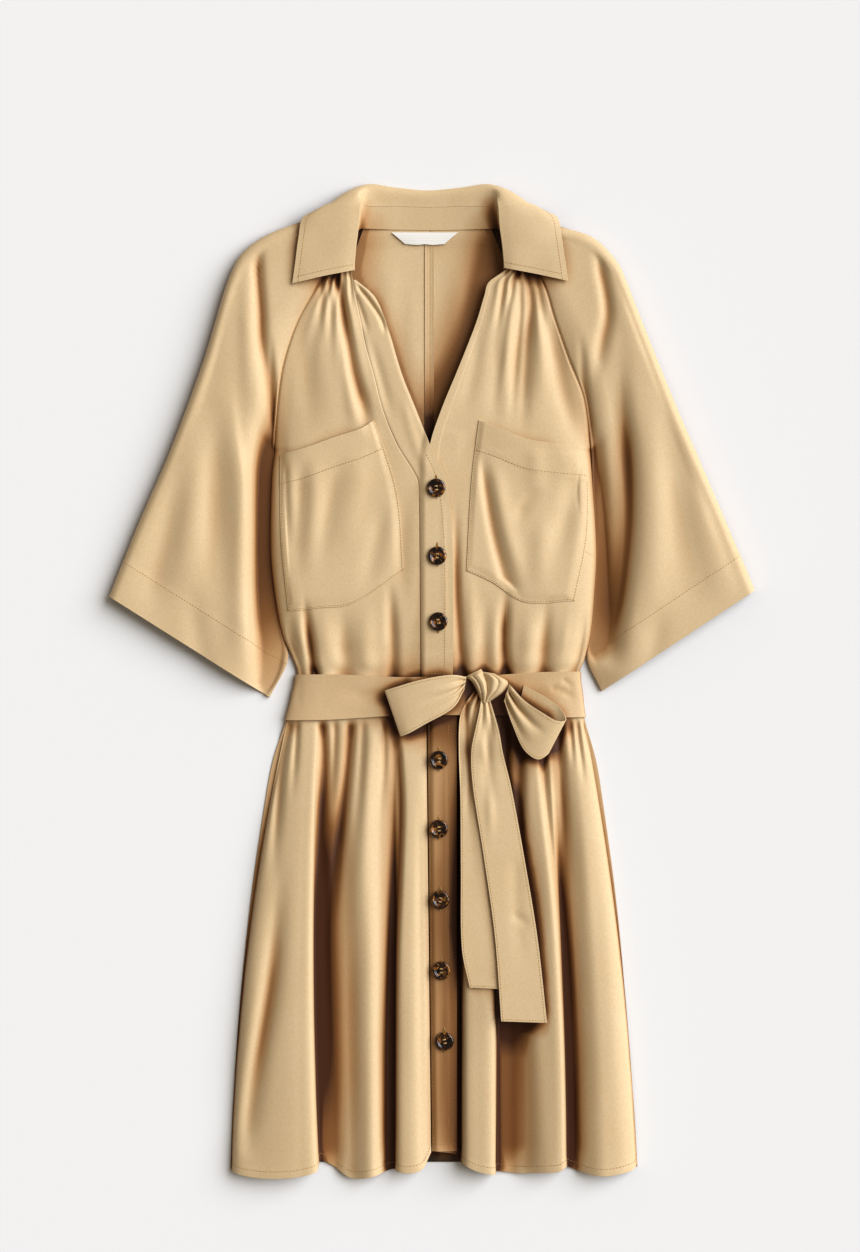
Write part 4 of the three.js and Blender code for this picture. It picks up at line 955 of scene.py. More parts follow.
skirtBandCreases = [
    {"path": [(13, 520), (15, 930)], "wide": 1.6, "rise": 0.4},
    {"path": [(4, 640), (2, 760)], "wide": 5, "rise": -0.5},
    {"path": [(10, 780), (6, 920)], "wide": 5, "rise": -0.6},
]


def skirtBand():
    below = mix(float(dress["beltBottom"]), skirtBandShape["hem"], steps(190))
    down = np.concatenate([[dress["waist"] + 0.1, 503], below])[:, None]
    seam = skirtBandLift(np.zeros_like(down), down)[1]
    across = mix(seam, float(skirtBandShape["edge"]), steps(26, 0.3, 0.3)[None, :])
    down = np.broadcast_to(down, across.shape)
    lift = skirtBandLift(across, down)[0] + creased(across, down, skirtBandCreases)
    lift = lift + 0.1 * ripple(across * 2, down, 5)
    grid = place(across, down, lift)
    clothPiece("button_band_skirt", grid, crepeCloth, dress["doubled"])
    sew(lineFrom(grid, "right", 8.2, 0.03, 0.99, dress["doubled"]))
    sew(lineFrom(grid, "left", 1.6, 0.03, 0.99, dress["doubled"]))
    sew(lineFrom(grid, "bottom", 7.0, 0.05, 0.95, dress["doubled"]))
    print("Button bands made")


# The back lies on the table; its centre seam is pressed open

def backLift(down):
    return half + beltRise(down) + 1.7 * ease((62 - down) / 16)


backCreases = [
    {"path": [(-40, 60), (-46, 260)], "wide": 9, "rise": 0.7},
    {"path": [(28, 70), (20, 300)], "wide": 9, "rise": 0.8},
    {"path": [(-20, 90), (-14, 280)], "wide": 7, "rise": 0.5},
]
allowance = {"half": 4.4, "start": 56, "end": 300, "lift": 0.55, "curl": 0.35, "crease": 0.25, "cloth": 0.4}
backSkirt = {"hem": 948.0, "curl": 20, "slant": 2, "curlFrom": 900, "wave": 0.2, "waveWidth": 16,
             "waveFrom": 560}


def bodiceBacks():
    centre = dress["centreBack"]

    def surface(across, down):
        lift = backLift(down) + creased(across, down, backCreases) * ease((down - 60) / 30)
        return lift - 0.3 * bump(np.abs(across - centre), 0, 1.2)

    downs = mix(41.5, dress["waist"] - 0.1, steps(80))
    left = frontGrid(lambda d: outerEdge("backleft", d) + 0.1, lambda d: centre - 0.02 + 0 * d,
                     surface, downs, steps(40))
    right = frontGrid(lambda d: centre + 0.02 + 0 * d, lambda d: outerEdge("backright", d) - 0.1,
                      surface, downs, steps(40))
    down = mix(float(allowance["start"]), float(allowance["end"]), steps(60))[:, None]
    u = steps(10)[None, :] * 2 - 1
    across = centre + u * allowance["half"] + 0 * down
    lift = backLift(down) + allowance["lift"] + allowance["curl"] * np.abs(u) ** 4
    lift = lift - allowance["crease"] * bump(u, 0, 0.12)
    flat = place(across, np.broadcast_to(down, across.shape), lift)
    strip = shell("centre_back_allowances", flat, crepeCloth, allowance["cloth"])
    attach(strip, "root")
    clothPiece("back_bodice_left", left, crepeCloth, dress["cloth"])
    clothPiece("back_bodice_right", right, crepeCloth, dress["cloth"])


def skirtBack():
    s = backSkirt
    rows = mix(dress["waist"] + 0.1, s["hem"], steps(70))[:, None]
    u = steps(60)[None, :]
    across = mix(column(bodySections, "left", rows), column(bodySections, "right", rows), u)
    lastRow = rows > s["hem"] - 0.1
    curl = np.where(lastRow, s["curl"] * (1 - (2 * u - 1) ** 2) + s["slant"] * u, 0)
    wave = s["wave"] * (1 + np.sin(across / s["waveWidth"])) * ease((rows - s["waveFrom"]) / 200)
    rise = backLift(rows) + wave * ease((across + 185) / 20) * ease((190 - across) / 20)
    skirt = place(across, rows - curl * ease((rows - s["curlFrom"]) / 48), rise)
    clothPiece("skirt_back", skirt, crepeCloth, hemThickness(skirt, skirtHem))


def backs():
    bodiceBacks()
    skirtBack()
    print("Backs made")


# Raglan sleeves: front edge, over the crown, round the overarm fold and back beneath

sleeves = {
    "left": {"fold": [(-79, 29), (-100, 31), (-126, 37), (-163, 52), (-183, 68), (-194, 88), (-219, 169),
                      (-252, 258), (-282, 327), (-310, 397)],
             "under": [(-156.8, 295), (-157.6, 352), (-153.8, 394), (-146, 435), (-141, 456), (-159, 494)]},
    "right": {"fold": [(71, 29), (96, 31), (123, 41), (156, 53), (179, 77), (187, 95), (203, 136),
                       (232, 208), (272, 301), (310, 391)],
              "under": [(157, 295), (160.6, 352), (158.8, 394), (155, 435), (152, 456), (166, 488)]},
}
sleeveShape = {"crown": [9, 13, 16, 17, 17, 16, 15], "roll": 8, "hem": 37, "tuck": 2.6}
sleeveCreases = {
    "left": [
        {"path": [(-165, 56), (-167, 80), (-164, 125), (-163, 152), (-157, 194), (-153, 246)], "wide": 4.2,
         "rise": -5.4, "fade": (0.15, 0.3), "spread": 0.5},
        {"path": [(-155.5, 140), (-153, 194), (-152, 246)], "wide": 3, "rise": -2.4, "fade": (0.4, 0.2)},
        {"path": [(-178, 70), (-177, 130), (-175, 180), (-170, 240)], "wide": 7, "rise": 2,
         "fade": (0.4, 0.4)},
        {"path": [(-196, 180), (-188, 248), (-181, 284), (-178, 314), (-177, 356), (-178, 400), (-180, 478)],
         "wide": 9, "rise": 4, "lean": -0.4, "fade": (0.4, 0.2)},
        {"path": [(-157, 196), (-162, 250), (-163, 300), (-162, 400), (-156, 478)], "wide": 10, "rise": -13,
         "fade": (0.3, 0)},
        {"path": [(-206, 200), (-208, 290), (-206, 420)], "wide": 12, "rise": -3, "fade": (0.5, 0.5)},
        {"path": [(-214, 200), (-228, 300), (-240, 420)], "wide": 12, "rise": 1.8, "fade": (0.5, 0.4)},
        {"path": [(-236, 260), (-256, 350), (-276, 424)], "wide": 11, "rise": -2.6, "fade": (0.5, 0.3)},
        {"path": [(-204, 110), (-216, 190), (-230, 280)], "wide": 13, "rise": -1.4, "fade": (0.4, 0.5)},
        {"path": [(-232, 380), (-226, 430), (-218, 474)], "wide": 9, "rise": -1.6, "fade": (0.5, 0)},
    ],
    "right": [
        {"path": [(158, 60), (163, 85), (169, 125), (164, 152), (154, 200)], "wide": 4.6, "rise": -4.4,
         "fade": (0.2, 0.4), "spread": 0.5},
        {"path": [(178, 150), (182, 224), (185, 253), (187, 296), (186, 341), (181, 386), (174, 425),
                  (168, 470)],
         "wide": 16, "rise": -9.5, "lean": -0.45, "fade": (0.35, 0.1)},
        {"path": [(206, 170), (212, 260), (214, 340), (206, 440)], "wide": 11, "rise": 2.4,
         "fade": (0.5, 0.3)},
        {"path": [(158, 226), (163, 320), (158, 460)], "wide": 6, "rise": -4, "fade": (0.3, 0.05)},
        {"path": [(222, 200), (238, 320), (252, 424)], "wide": 13, "rise": -1.8, "fade": (0.5, 0.4)},
        {"path": [(246, 270), (268, 350), (284, 414)], "wide": 12, "rise": 1.6, "fade": (0.5, 0.3)},
        {"path": [(180, 90), (190, 140), (204, 200)], "wide": 9, "rise": 1.2, "fade": (0.4, 0.5)},
        {"path": [(222, 400), (214, 440), (204, 474)], "wide": 9, "rise": -1.8, "fade": (0.5, 0)},
        {"path": [(142, 140), (147, 200), (153, 250)], "wide": 3.6, "rise": -2.2, "fade": (0.4, 0.2)},
    ],
}


def sleeve(node, side, seed):
    sign = -1 if side == "left" else 1
    marks = np.array([42, 55, 68, 81, 95, 112, 130, 150, 170, 188, 206, 230, 243, 255], float)
    under = np.array(sleeves[side]["under"]) - [sign * sleeveShape["tuck"], 0]
    inner = np.concatenate([np.stack([outerEdge(side, marks), marks], axis=-1), under])
    at = steps(130)
    a = evenly(inner, at)
    b = evenly(sleeves[side]["fold"], at)
    onRaglan = a[:, 1] < underarm
    back = np.where(onRaglan, outerEdge("back" + side, a[:, 1]), a[:, 0])
    c = np.stack([back + sign * 0.1, a[:, 1]], axis=-1)
    a = a + np.stack([np.where(onRaglan, sign * 0.05, 0.0), 0 * at], axis=-1)
    heights = sleeveShape["crown"]
    crown = np.interp(at * (len(heights) - 1), range(len(heights)), heights)
    low = edgeLift(a[:, 1])
    length = np.linalg.norm(b - a, axis=-1)
    roll = np.minimum(sleeveShape["roll"], length * 0.35) / length
    front = steps(78, 0.55, 0.0)
    t = front[None, :] * (1 - roll[:, None])
    s = np.clip(front[None, :] / 0.34, 0, 1)
    across = mix(a[:, :1], b[:, :1], t)
    down = mix(a[:, 1:], b[:, 1:], t)
    lift = mix(low[:, None], crown[:, None], s * (2 - s))
    hold = (ease(front / 0.05) * ease((1 - front) / 0.08))[None, :] * ease((at + 0.02) / 0.08)[:, None]
    lift = lift + hold * (creased(across, down, sleeveCreases[side]) + 1.3 * ripple(across, down, seed))
    lift = lift + seamGroove(t * length[:, None]) * ease((underarm - 4 - a[:, 1:]) / 12)
    lift = np.maximum(lift, half + 0.5)
    top = place(across, down, lift)
    # round the overarm fold in a half turn
    angle = math.pi * np.linspace(0, 1, 18)[None, 1:]
    reach = 1 - roll[:, None] + roll[:, None] * np.sin(angle)
    middle = ((crown + half) / 2)[:, None]
    turn = place(mix(a[:, :1], b[:, :1], reach), mix(a[:, 1:], b[:, 1:], reach),
                 middle + (crown[:, None] - middle) * np.cos(angle))
    # and flat on the table back to the seam
    turned = turn[:, -1]
    seam = place(c[:, 0], c[:, 1], half)
    below = turned[:, None] + (seam - turned)[:, None] * steps(24)[None, 1:, None]
    grid = np.concatenate([top, turn, below], axis=1)
    thick = mix(dress["cloth"], dress["turned"], 1 - ease((fromHem(grid) - sleeveShape["hem"]) / 1.5))
    clothPiece(node, grid, crepeCloth, thick)
    # the cuff's stitching is sewn where it shows, from the seam to just past the fold
    shown = grid[:, :top.shape[1] + 5]
    sew(lineFrom(shown, "bottom", sleeveShape["hem"] - 0.8, 0.0, 1.0, dress["turned"]))


def bothSleeves():
    sleeve("sleeve_left", "left", 6.0)
    sleeve("sleeve_right", "right", 7.0)
    print("Sleeves made")


def pocket(node, side, surface, seed):
    p = pockets[side]
    rows, columns = steps(84), steps(88, 0.3, 0.3)
    v, u = rows[:, None, None], columns[None, :, None]
    top, bottom = through(p["top"], columns)[None], through(p["bottom"], columns)[None]
    left, right = through(p["left"], rows)[:, None], through(p["right"], rows)[:, None]
    corners = mix(mix(top[:, :1], top[:, -1:], u), mix(bottom[:, :1], bottom[:, -1:], u), v)
    flat = mix(top, bottom, v) + mix(left, right, u) - corners
    across, down = flat[..., 0], flat[..., 1]
    here = surface(across, down)
    slopeX = np.clip(surface(across + 1, down) - here, -1.5, 1.5)
    slopeY = np.clip(surface(across, down + 1) - here, -1.5, 1.5)
    normal = np.stack([-slopeX, slopeY, np.ones_like(here)], axis=-1)
    normal /= np.linalg.norm(normal, axis=-1, keepdims=True)
    u, v = u[..., 0], v[..., 0]
    width = np.linalg.norm(flat[:, -1] - flat[:, 0], axis=-1)[:, None]
    height = np.linalg.norm(flat[-1] - flat[0], axis=-1)[None, :]
    fromSewn = np.minimum(np.minimum(u * width, (1 - u) * width), (1 - v) * height)
    free = ease(fromSewn / 9)
    off = mix(pocketShape["sewn"], pocketShape["full"], free)
    gape = pocketShape["mouth"] * (1 - ease(v / 0.35)) * np.sin(math.pi * u)
    relief = free * (creased(across, down, p["creases"]) + 1.2 * ripple(across, down, seed))
    room = pocketShape["room"] * ease((fromSewn - 6) / 9)
    relief = np.maximum(relief, -off - gape - room + 0.7)
    grid = place(across, down, here + gape + relief) + normal * off[..., None]
    thick = mix(dress["turned"], dress["cloth"], ease((v * height - pocketShape["hem"]) / 1.4))
    clothPiece(node, grid, crepeCloth, thick)
    sew(lineFrom(grid, "top", pocketShape["hem"] - 0.8, 0.02, 0.98, 0.9))
    for edge, start in (("left", 0.0), ("right", 0.0), ("bottom", 0.01)):
        sew(lineFrom(grid, edge, 1.5, start, 0.99, dress["cloth"]), pitch=fineStitch["pitch"])


def bothPockets():
    pocket("pocket_left", "left", leftFront, 8.0)
    pocket("pocket_right", "right", rightFront, 9.0)
    print("Pockets made")


# Collar: a leaf that turns over at the sides, and the stand inside the neck

collarRows = [
    {"seam": (-75, 84, 15), "top": (-84, 86, 16.6), "turn": (-104, 90, 17), "under": (-121, 94, 17),
     "edge": (-134, 97, 16.4)},
    {"seam": (-73, 62, 17), "top": (-83, 64, 18), "turn": (-102, 68, 18), "under": (-119, 72, 17.8),
     "edge": (-131, 75, 17)},
    {"seam": (-70.5, 42, 18), "top": (-81, 44, 19), "turn": (-100, 47, 19), "under": (-117, 50, 18),
     "edge": (-128, 53, 17)},
    {"seam": (-69, 22, 18), "top": (-80, 24, 19), "turn": (-99, 30, 18.5), "under": (-114, 32.5, 17),
     "edge": (-124, 34, 14)},
    {"seam": (-68.5, 19, 17), "top": (-76, 17, 17.6), "turn": (-96, 21.5, 16.5),
     "under": (-105, 23, 13.5), "edge": (-110, 26.5, 7)},
    {"seam": (-68, 16, 15), "top": (-72, 10, 15), "turn": (-92, 15.5, 11), "under": (-91, 18.5, 3.5),
     "edge": (-88, 23, 0.9)},
    {"seam": (-64, 21, 9), "top": (-63, 5, 9), "turn": (-64, 0.9, 4.8), "under": (-64, 5, 0.9),
     "edge": (-64, 33, 0.9)},
    {"seam": (-34, 21.5, 5.6), "top": (-34, 7.5, 6), "turn": (-34, 3.8, 3.4), "under": (-34, 7.5, 0.8),
     "edge": (-34, 38, 0.8)},
    {"seam": (-4, 22.5, 5), "top": (-4, 10, 5.4), "turn": (-4, 6.4, 3.1), "under": (-4, 10, 0.8),
     "edge": (-4, 40, 0.8)},
]
standRows = [
    {"neck": (-74.6, 84.6, 10.4), "top": (-75, 84.2, 15)}, {"neck": (-74.4, 62, 10), "top": (-73, 62, 16.6)},
    {"neck": (-71.8, 46, 8.5), "top": (-70.5, 42, 17.4)}, {"neck": (-70, 44, 7), "top": (-69, 22.1, 17.6)},
    {"neck": (-69, 43.4, 6), "top": (-68.5, 19.1, 16.9)}, {"neck": (-68, 43, 5.4), "top": (-68, 16.1, 15)},
    {"neck": (-63, 43, 4.6), "top": (-64, 21.1, 9)}, {"neck": (-34, 43.8, 3.1), "top": (-34, 21.6, 5.6)},
    {"neck": (-4, 44.2, 2.9), "top": (-4, 22.6, 5)},
]
collarShape = {"middle": -4, "rightScale": 1.035, "rightDrop": -2, "dropFrom": 60, "dropFull": 84,
               "thickness": 1.05, "stand": 1.0, "topstitch": 5.6}


def bothSides(rows, names):
    # the left side's rows, from the front to the middle of the back, then the right side's to the front
    c = collarShape

    def mirrored(point):
        across, down, lift = point
        drop = c["rightDrop"] * down / c["dropFull"] if down > c["dropFrom"] else 0
        return (c["middle"] + (c["middle"] - across) * c["rightScale"], down + drop, lift)

    left = [[row[name] for name in names] for row in rows]
    right = [[mirrored(row[name]) for name in names] for row in reversed(rows[:-1])]
    points = np.array(left + right, float)
    return place(points[..., 0], points[..., 1], points[..., 2])


def collar():
    leafRows = bothSides(collarRows, ["seam", "top", "turn", "under", "edge"])
    leaf = loft(leafRows, steps(236, 0.25, 0.25), steps(40, 0.3, 0.3))
    down = dress["length"] / 2 - leaf[..., 1]
    wave = 0.35 * np.sin(leaf[..., 0] / 9 + down / 13) * ease((down - 30) / 20)
    leaf[..., 2] += wave * ease((leaf[..., 2] - 12) / 3)
    leaf[..., 2] = np.maximum(leaf[..., 2], half)
    thickness = collarShape["thickness"]
    clothPiece("collar_leaf", leaf, crepeCloth, thickness)
    topstitched = (("top", 0.04, 0.86), ("bottom", 0.04, 0.86), ("right", 0.0, 0.31), ("right", 0.69, 1.0))
    for edge, start, end in topstitched:
        line = lineFrom(leaf, edge, collarShape["topstitch"], start, end, thickness)
        sew(line, pitch=fineStitch["pitch"])
    stand = loft(bothSides(standRows, ["neck", "top"]), steps(170), steps(14))
    clothPiece("collar_stand", stand, crepeCloth, collarShape["stand"])
    print("Collar made")


# The belt goes once round the waist, over the fronts and under the back

beltShape = {"middle": 37, "side": 44, "left": 494, "right": 491, "thickness": 1.1}
beltCreases = [
    {"path": [(112, 484), (126.8, 488.7), (140, 497)], "wide": 3, "rise": -1.2},
    {"path": [(124, 476), (138, 486)], "wide": 2.6, "rise": -0.9},
    {"path": [(-30, 492), (-63.3, 492), (-96, 486)], "wide": 6, "rise": -0.8},
    {"path": [(-20, 500), (-70, 508)], "wide": 4, "rise": 0.7},
    {"path": [(80, 482), (104.1, 484), (128, 480)], "wide": 5, "rise": 0.8},
    {"path": [(-128, 476), (-132, 508)], "wide": 4, "rise": -0.8},
]


def belt():
    rows, columns = steps(240, 0.5, 0.5), steps(22, 0.3, 0.3)
    u, v = rows[:, None], columns[None, :]
    width = mix(beltShape["middle"], beltShape["side"], ease((np.abs(u - 0.5) - 0.1) / 0.3))
    down = mix(beltShape["left"], beltShape["right"], u) + width * (v - 0.5)
    across = mix(frontEdge("left", down), frontEdge("right", down), u)
    slope = (frontLift(across + 0.2, down) - frontLift(across - 0.2, down)) / 0.4
    slope = np.clip(slope, -8, 8)
    normal = np.stack([-slope, 0 * slope, np.ones_like(slope)], axis=-1)
    normal /= np.linalg.norm(normal, axis=-1, keepdims=True)
    outward = np.stack([np.sign(u - 0.5) + 0 * down, 0 * down, 0 * down], axis=-1)
    normal = np.where(((u == 0) | (u == 1))[..., None], outward, normal)
    band = (step + 0.2) * ease((across + 27) / 10) * ease((38 - across) / 10)
    inner = ease(u / 0.04) * ease((1 - u) / 0.04)
    relief = inner * (creased(across, down, beltCreases) + 0.8 * ripple(across * 1.3, down * 1.6, 10.0))
    over = place(across, down, frontLift(across, down) + band + relief) + normal * step
    under = []
    for t in (0.97, 0.8, 0.6, 0.4, 0.2, 0.03):
        under.append(place(mix(frontEdge("left", down[0]), frontEdge("right", down[0]), t), down[0], half))
    grid = np.concatenate([over, np.array(under)])
    clothPiece("belt", grid, crepeCloth, beltShape["thickness"], ring=True)
    print("Belt made")


# The bow: two loops, the knot and two tails

leftLoop = {
    "high": [(33, 474, 17), (20, 472, 22), (-8, 476, 24), (-36, 484, 22), (-45, 487, 19), (-36, 485, 16.4),
             (-8, 478, 16.2), (20, 475, 16)],
    "low": [(31, 486, 17), (21, 503, 21), (-6, 519, 22), (-24, 529, 21), (-30, 531, 18), (-24, 529, 16.2),
            (-6, 517, 16.2), (21, 500, 16)],
    "creases": [(0.24, 0.09, -2.6, 0.26), (0.5, 0.1, -3.4, 0.34), (0.38, 0.08, 1.6, 0.3),
                (0.78, 0.1, -2.6, 0.3), (0.64, 0.08, 1.2, 0.24)],
}
rightLoop = {
    "high": [(74, 481, 20), (88, 496, 25), (107, 509, 28), (120, 516, 26.5), (128, 515, 22.5),
             (123, 504, 17), (109, 493.5, 14.5), (88, 482, 12.9)],
    "low": [(69, 497, 19), (77, 520, 21), (89, 545, 22), (102, 553, 21), (112, 546, 19.5), (108, 540, 15.4),
            (96, 528, 13.8), (82, 508, 12.9)],
    "creases": [(0.36, 0.09, -4.6, 0.42), (0.6, 0.12, 2.2, 0.40), (0.12, 0.1, 1.6, 0.3),
                (0.82, 0.1, -2.4, 0.3)],
}
bowCloth = 1.05


def loop(node, table):
    high, low = np.array(table["high"], float), np.array(table["low"], float)
    controls = np.stack([place(*high.T), place(*((high + low) / 2).T), place(*low.T)], axis=1)
    rows, columns = steps(110), steps(34, 0.3, 0.3)
    grid = loft(controls, rows, columns)
    relief = sum(rise * bump(columns[None, :], at, wide) * (1 - ease(rows / far))[:, None]
                 for at, wide, rise, far in table["creases"])
    relief = relief * ease(rows / 0.03)[:, None]
    grid[..., 2] += relief
    clothPiece(node, grid, crepeCloth, bowCloth)
    for edge in ("left", "right"):
        sew(lineFrom(grid, edge, 2.2, 0.05, 0.48, bowCloth), **fineStitch)


# Two turns of the belt cross over the knot, each between a left and a right edge, from the top down
knotWraps = [
    {"left": [(32.6, 473.8), (38.4, 478.6), (43.4, 487.7), (47.6, 498.2)],
     "right": [(46.9, 466.8), (52.6, 476.8), (54.2, 488.6), (51.5, 498.6)],
     "crown": [7.4, 10.2, 9.8, 6.0], "pleats": [(0.3, 0.09, -1.5), (0.62, 0.1, 0.9), (0.85, 0.07, -1.3)]},
    {"left": [(48.5, 469.4), (50.4, 474), (51.4, 484), (50.2, 497)],
     "right": [(60, 471.2), (72.6, 479.6), (68.6, 488), (54.4, 498.4)],
     "crown": [7.0, 10.6, 10.4, 6.6], "pleats": [(0.52, 0.07, -1.3), (0.3, 0.12, 0.8), (0.78, 0.12, 0.9)]},
]


def knot():
    rows, columns = steps(54), steps(40, 0.5, 0.5)
    for n, wrap in enumerate(knotWraps):
        left, right = through(wrap["left"], rows)[:, None], through(wrap["right"], rows)[:, None]
        u, v = columns[None, :], rows[:, None]
        flat = left + (right - left) * u[..., None]
        arch = np.sqrt(np.clip(1 - (2 * u - 1) ** 2, 0, 1)) ** 0.8
        crown = through(np.array(wrap["crown"])[:, None], rows)
        pleats = sum(rise * bump(u, at + 0.06 * np.sin(3 * v), wide) for at, wide, rise in wrap["pleats"])
        lift = 12.4 + crown * arch + pleats * arch * ease(v / 0.15) * ease((1 - v) / 0.1)
        grid = place(flat[..., 0], flat[..., 1], lift - 4 * (1 - ease(v / 0.12)) * arch)
        piece = shell("bow_knot_wrap_" + str(n + 1), grid, crepeCloth, 1.0)
        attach(piece, "root")
        if n == 0:
            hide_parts("bow_knot")


narrowTail = {"down": [488, 500, 510, 521, 546, 589, 660, 735, 772],
              "left": [41, 32, 27.5, 25.8, 25.5, 27, 27.5, 28.5, 36],
              "right": [50, 47, 45, 44, 50, 60, 63, 64, 66],
              "lift": [13.5, 15.2, 15.8, 15.6, 15.6, 0, 0, 0, 0]}
wideTail = {"down": [490, 503, 524, 546, 579, 644, 723, 804], "left": [47.5, 46, 41.6, 37.5, 39, 49, 60, 66],
            "right": [54, 58, 64, 68, 76, 88, 101, 110], "lift": [15.5, 19, 19, 18.5, 0, 0, 0, 0]}
coarseSkirts = [leftSkirt[::8, ::4], rightSkirt[::8, ::4]]


def skirtTop(across, down, reach):
    spot = place(across, down, 0.0)
    highest = 0.0
    for grid in coarseSkirts:
        near = np.hypot(grid[..., 0] - spot[0], (grid[..., 1] - spot[1]) * 0.35) < reach
        if near.any():
            highest = max(highest, grid[..., 2][near].max())
    return highest


def tailLift(table, down):
    left, right = column(table, "left", down), column(table, "right", down)
    below = skirtTop((left + right) / 2, down, (right - left) / 2 + 5)
    return max(float(column(table, "lift", down)), below + step)


def tail(node, table, liftAt, creases):
    knots = mix(table["down"][0], table["down"][-1], np.linspace(0, 1, 15))
    heights = np.array([liftAt(d) for d in knots])
    down = mix(float(table["down"][0]), float(table["down"][-1]), steps(150))
    lift = through(heights[:, None], steps(150))[:, 0]
    u = steps(28, 0.3, 0.3)
    across = mix(column(table, "left", down)[:, None], column(table, "right", down)[:, None], u[None, :])
    downs = down[:, None] + (u[None, :] - 0.5) * 1.5
    relief = creased(across, downs, creases) + 0.5 * ripple(across * 1.4, downs, 12.0)
    gathered = sum(rise * bump(u, at, 0.1)[None, :] * (1 - ease((down - table["down"][0]) / 60))[:, None]
                   for at, rise in ((0.25, -1.6), (0.5, 1.2), (0.72, -1.8)))
    grid = place(across, downs, lift[:, None] + relief + gathered)
    clothPiece(node, grid, crepeCloth, bowCloth)
    for edge in ("left", "right", "bottom"):
        sew(lineFrom(grid, edge, 1.9, 0.05, 0.995, bowCloth), **fineStitch)


narrowCreases = [
    {"path": [(33, 500), (33, 530), (34, 580)], "wide": 2.4, "rise": -2.6, "fade": (0, 0.5)},
    {"path": [(28.5, 505), (28, 540), (29.5, 600)], "wide": 2.6, "rise": -1.6, "fade": (0, 0.5)},
    {"path": [(36, 505), (37, 562.5), (34, 620)], "wide": 3, "rise": -2},
    {"path": [(45, 540), (46.5, 620.1), (52, 700)], "wide": 5, "rise": 0.9},
]
wideCreases = [
    {"path": [(54, 508), (53, 559.1), (58, 610)], "wide": 4, "rise": -2.4},
    {"path": [(48, 530), (55, 584.8), (56, 640)], "wide": 3.4, "rise": 1.4},
    {"path": [(76, 700), (86.3, 706.5), (94, 716)], "wide": 4, "rise": -0.9},
    {"path": [(80, 640), (81, 700.2), (88, 760)], "wide": 6, "rise": -0.8},
]


def bow():
    loop("bow_loop_left", leftLoop)
    loop("bow_loop_right", rightLoop)
    lower = lambda down: tailLift(narrowTail, down)
    tail("bow_tail_narrow", narrowTail, lower, narrowCreases)
    # the wide tail lies on the narrow one and keeps that height past its end
    narrowEnd = narrowTail["down"][-1]
    upper = lambda down: max(tailLift(wideTail, down), lower(min(down, narrowEnd)) + step + dress["layGap"])
    tail("bow_tail_wide", wideTail, upper, wideCreases)
    knot()
    print("Bow made")


# Buttons: dished discs with a raised rim and four holes, sewn on with thread

buttonPlaces = [(4, 293), (5, 358), (6, 421), (6.5, 554), (6.5, 620), (8, 688), (9, 756), (12, 824)]
buttonTurns = [4, -8, 12, -3, 7, -12, 2, 15]
buttonShape = {"radius": 8.85, "floor": 1.9, "hole": 0.85, "spacing": 1.75, "lift": 0.35, "strand": 0.24,
               "arch": 0.75}
# half of the section from the middle below, round the rim and into the dish: share of the radius, height
buttonSection = [(0, 0), (0.62, 0), (0.84, 0.25), (0.96, 0.95), (1, 1.6), (0.985, 2.25), (0.94, 2.8),
                 (0.87, 3.1), (0.8, 3.18), (0.73, 3.05), (0.68, 2.7), (0.64, 2.25), (0.57, 1.98), (0.4, 1.88),
                 (0, 1.85)]
buttonholeShape = {"wide": 1.1, "long": 11.3, "inner": 9.8, "above": 1.0, "lift": 0.55, "stitch": 2.0,
                   "thread": 0.7}


def buttonMesh():
    b = buttonShape
    profile = [(b["radius"] * share, height) for share, height in buttonSection]
    sides = 56
    vertices, faces = [(0, 0, profile[0][1])], []
    for x, z in profile[1:-1]:
        for k in range(sides):
            angle = 2 * math.pi * k / sides
            vertices.append((x * math.cos(angle), x * math.sin(angle), z))
    vertices.append((0, 0, profile[-1][1]))
    ring = lambda i, k: 1 + i * sides + k % sides
    for k in range(sides):
        faces.append((0, ring(0, k + 1), ring(0, k)))
        for i in range(len(profile) - 3):
            faces.append((ring(i, k), ring(i, k + 1), ring(i + 1, k + 1), ring(i + 1, k)))
        faces.append((len(vertices) - 1, ring(len(profile) - 3, k), ring(len(profile) - 3, k + 1)))
    body = newObject("button_blank", np.array(vertices, float) * metre, faces, tortoiseshell)
    # the four holes are cut by sixteen-sided rods
    drills = []
    for x in (-1, 1):
        for y in (-1, 1):
            ends = []
            for z in (-1, 5):
                for k in range(16):
                    angle = 2 * math.pi * k / 16
                    ends.append((x * b["spacing"] + b["hole"] * math.cos(angle),
                                 y * b["spacing"] + b["hole"] * math.sin(angle), z))
            walls = [(k, (k + 1) % 16, 16 + (k + 1) % 16, 16 + k) for k in range(16)]
            walls += [tuple(range(15, -1, -1)), tuple(range(16, 32))]
            drills.append(newObject("drill", np.array(ends, float) * metre, walls, tortoiseshell))
    for drill in drills:
        cut = body.modifiers.new("hole", "BOOLEAN")
        cut.operation, cut.solver, cut.object = "DIFFERENCE", "EXACT", drill
    evaluated = body.evaluated_get(bpy.context.evaluated_depsgraph_get())
    mesh = bpy.data.meshes.new_from_object(evaluated)
    mesh.name = "button_drilled"
    mesh.set_sharp_from_angle(angle=math.radians(38))
    for spare in drills + [body]:
        bpy.data.objects.remove(spare)
    return mesh


def buttonhole(across, down, lift):
    # the worked edge, a narrow upright oval behind the button
    b = buttonholeShape
    t = np.linspace(0, 2 * math.pi, 60)
    middle = down - b["above"]
    line = place(across + b["wide"] * np.cos(t), middle + b["long"] * np.sin(t), lift + b["lift"])
    slit = place(np.full(60, float(across)), middle + b["inner"] * np.sin(t), lift + b["lift"])
    outward = line - slit
    outward[:, 2] = 0
    outward /= np.maximum(np.linalg.norm(outward, axis=-1, keepdims=True), 1e-9)
    bars(line, outward, np.tile([0, 0, 1.0], (60, 1)), b["stitch"], b["thread"])


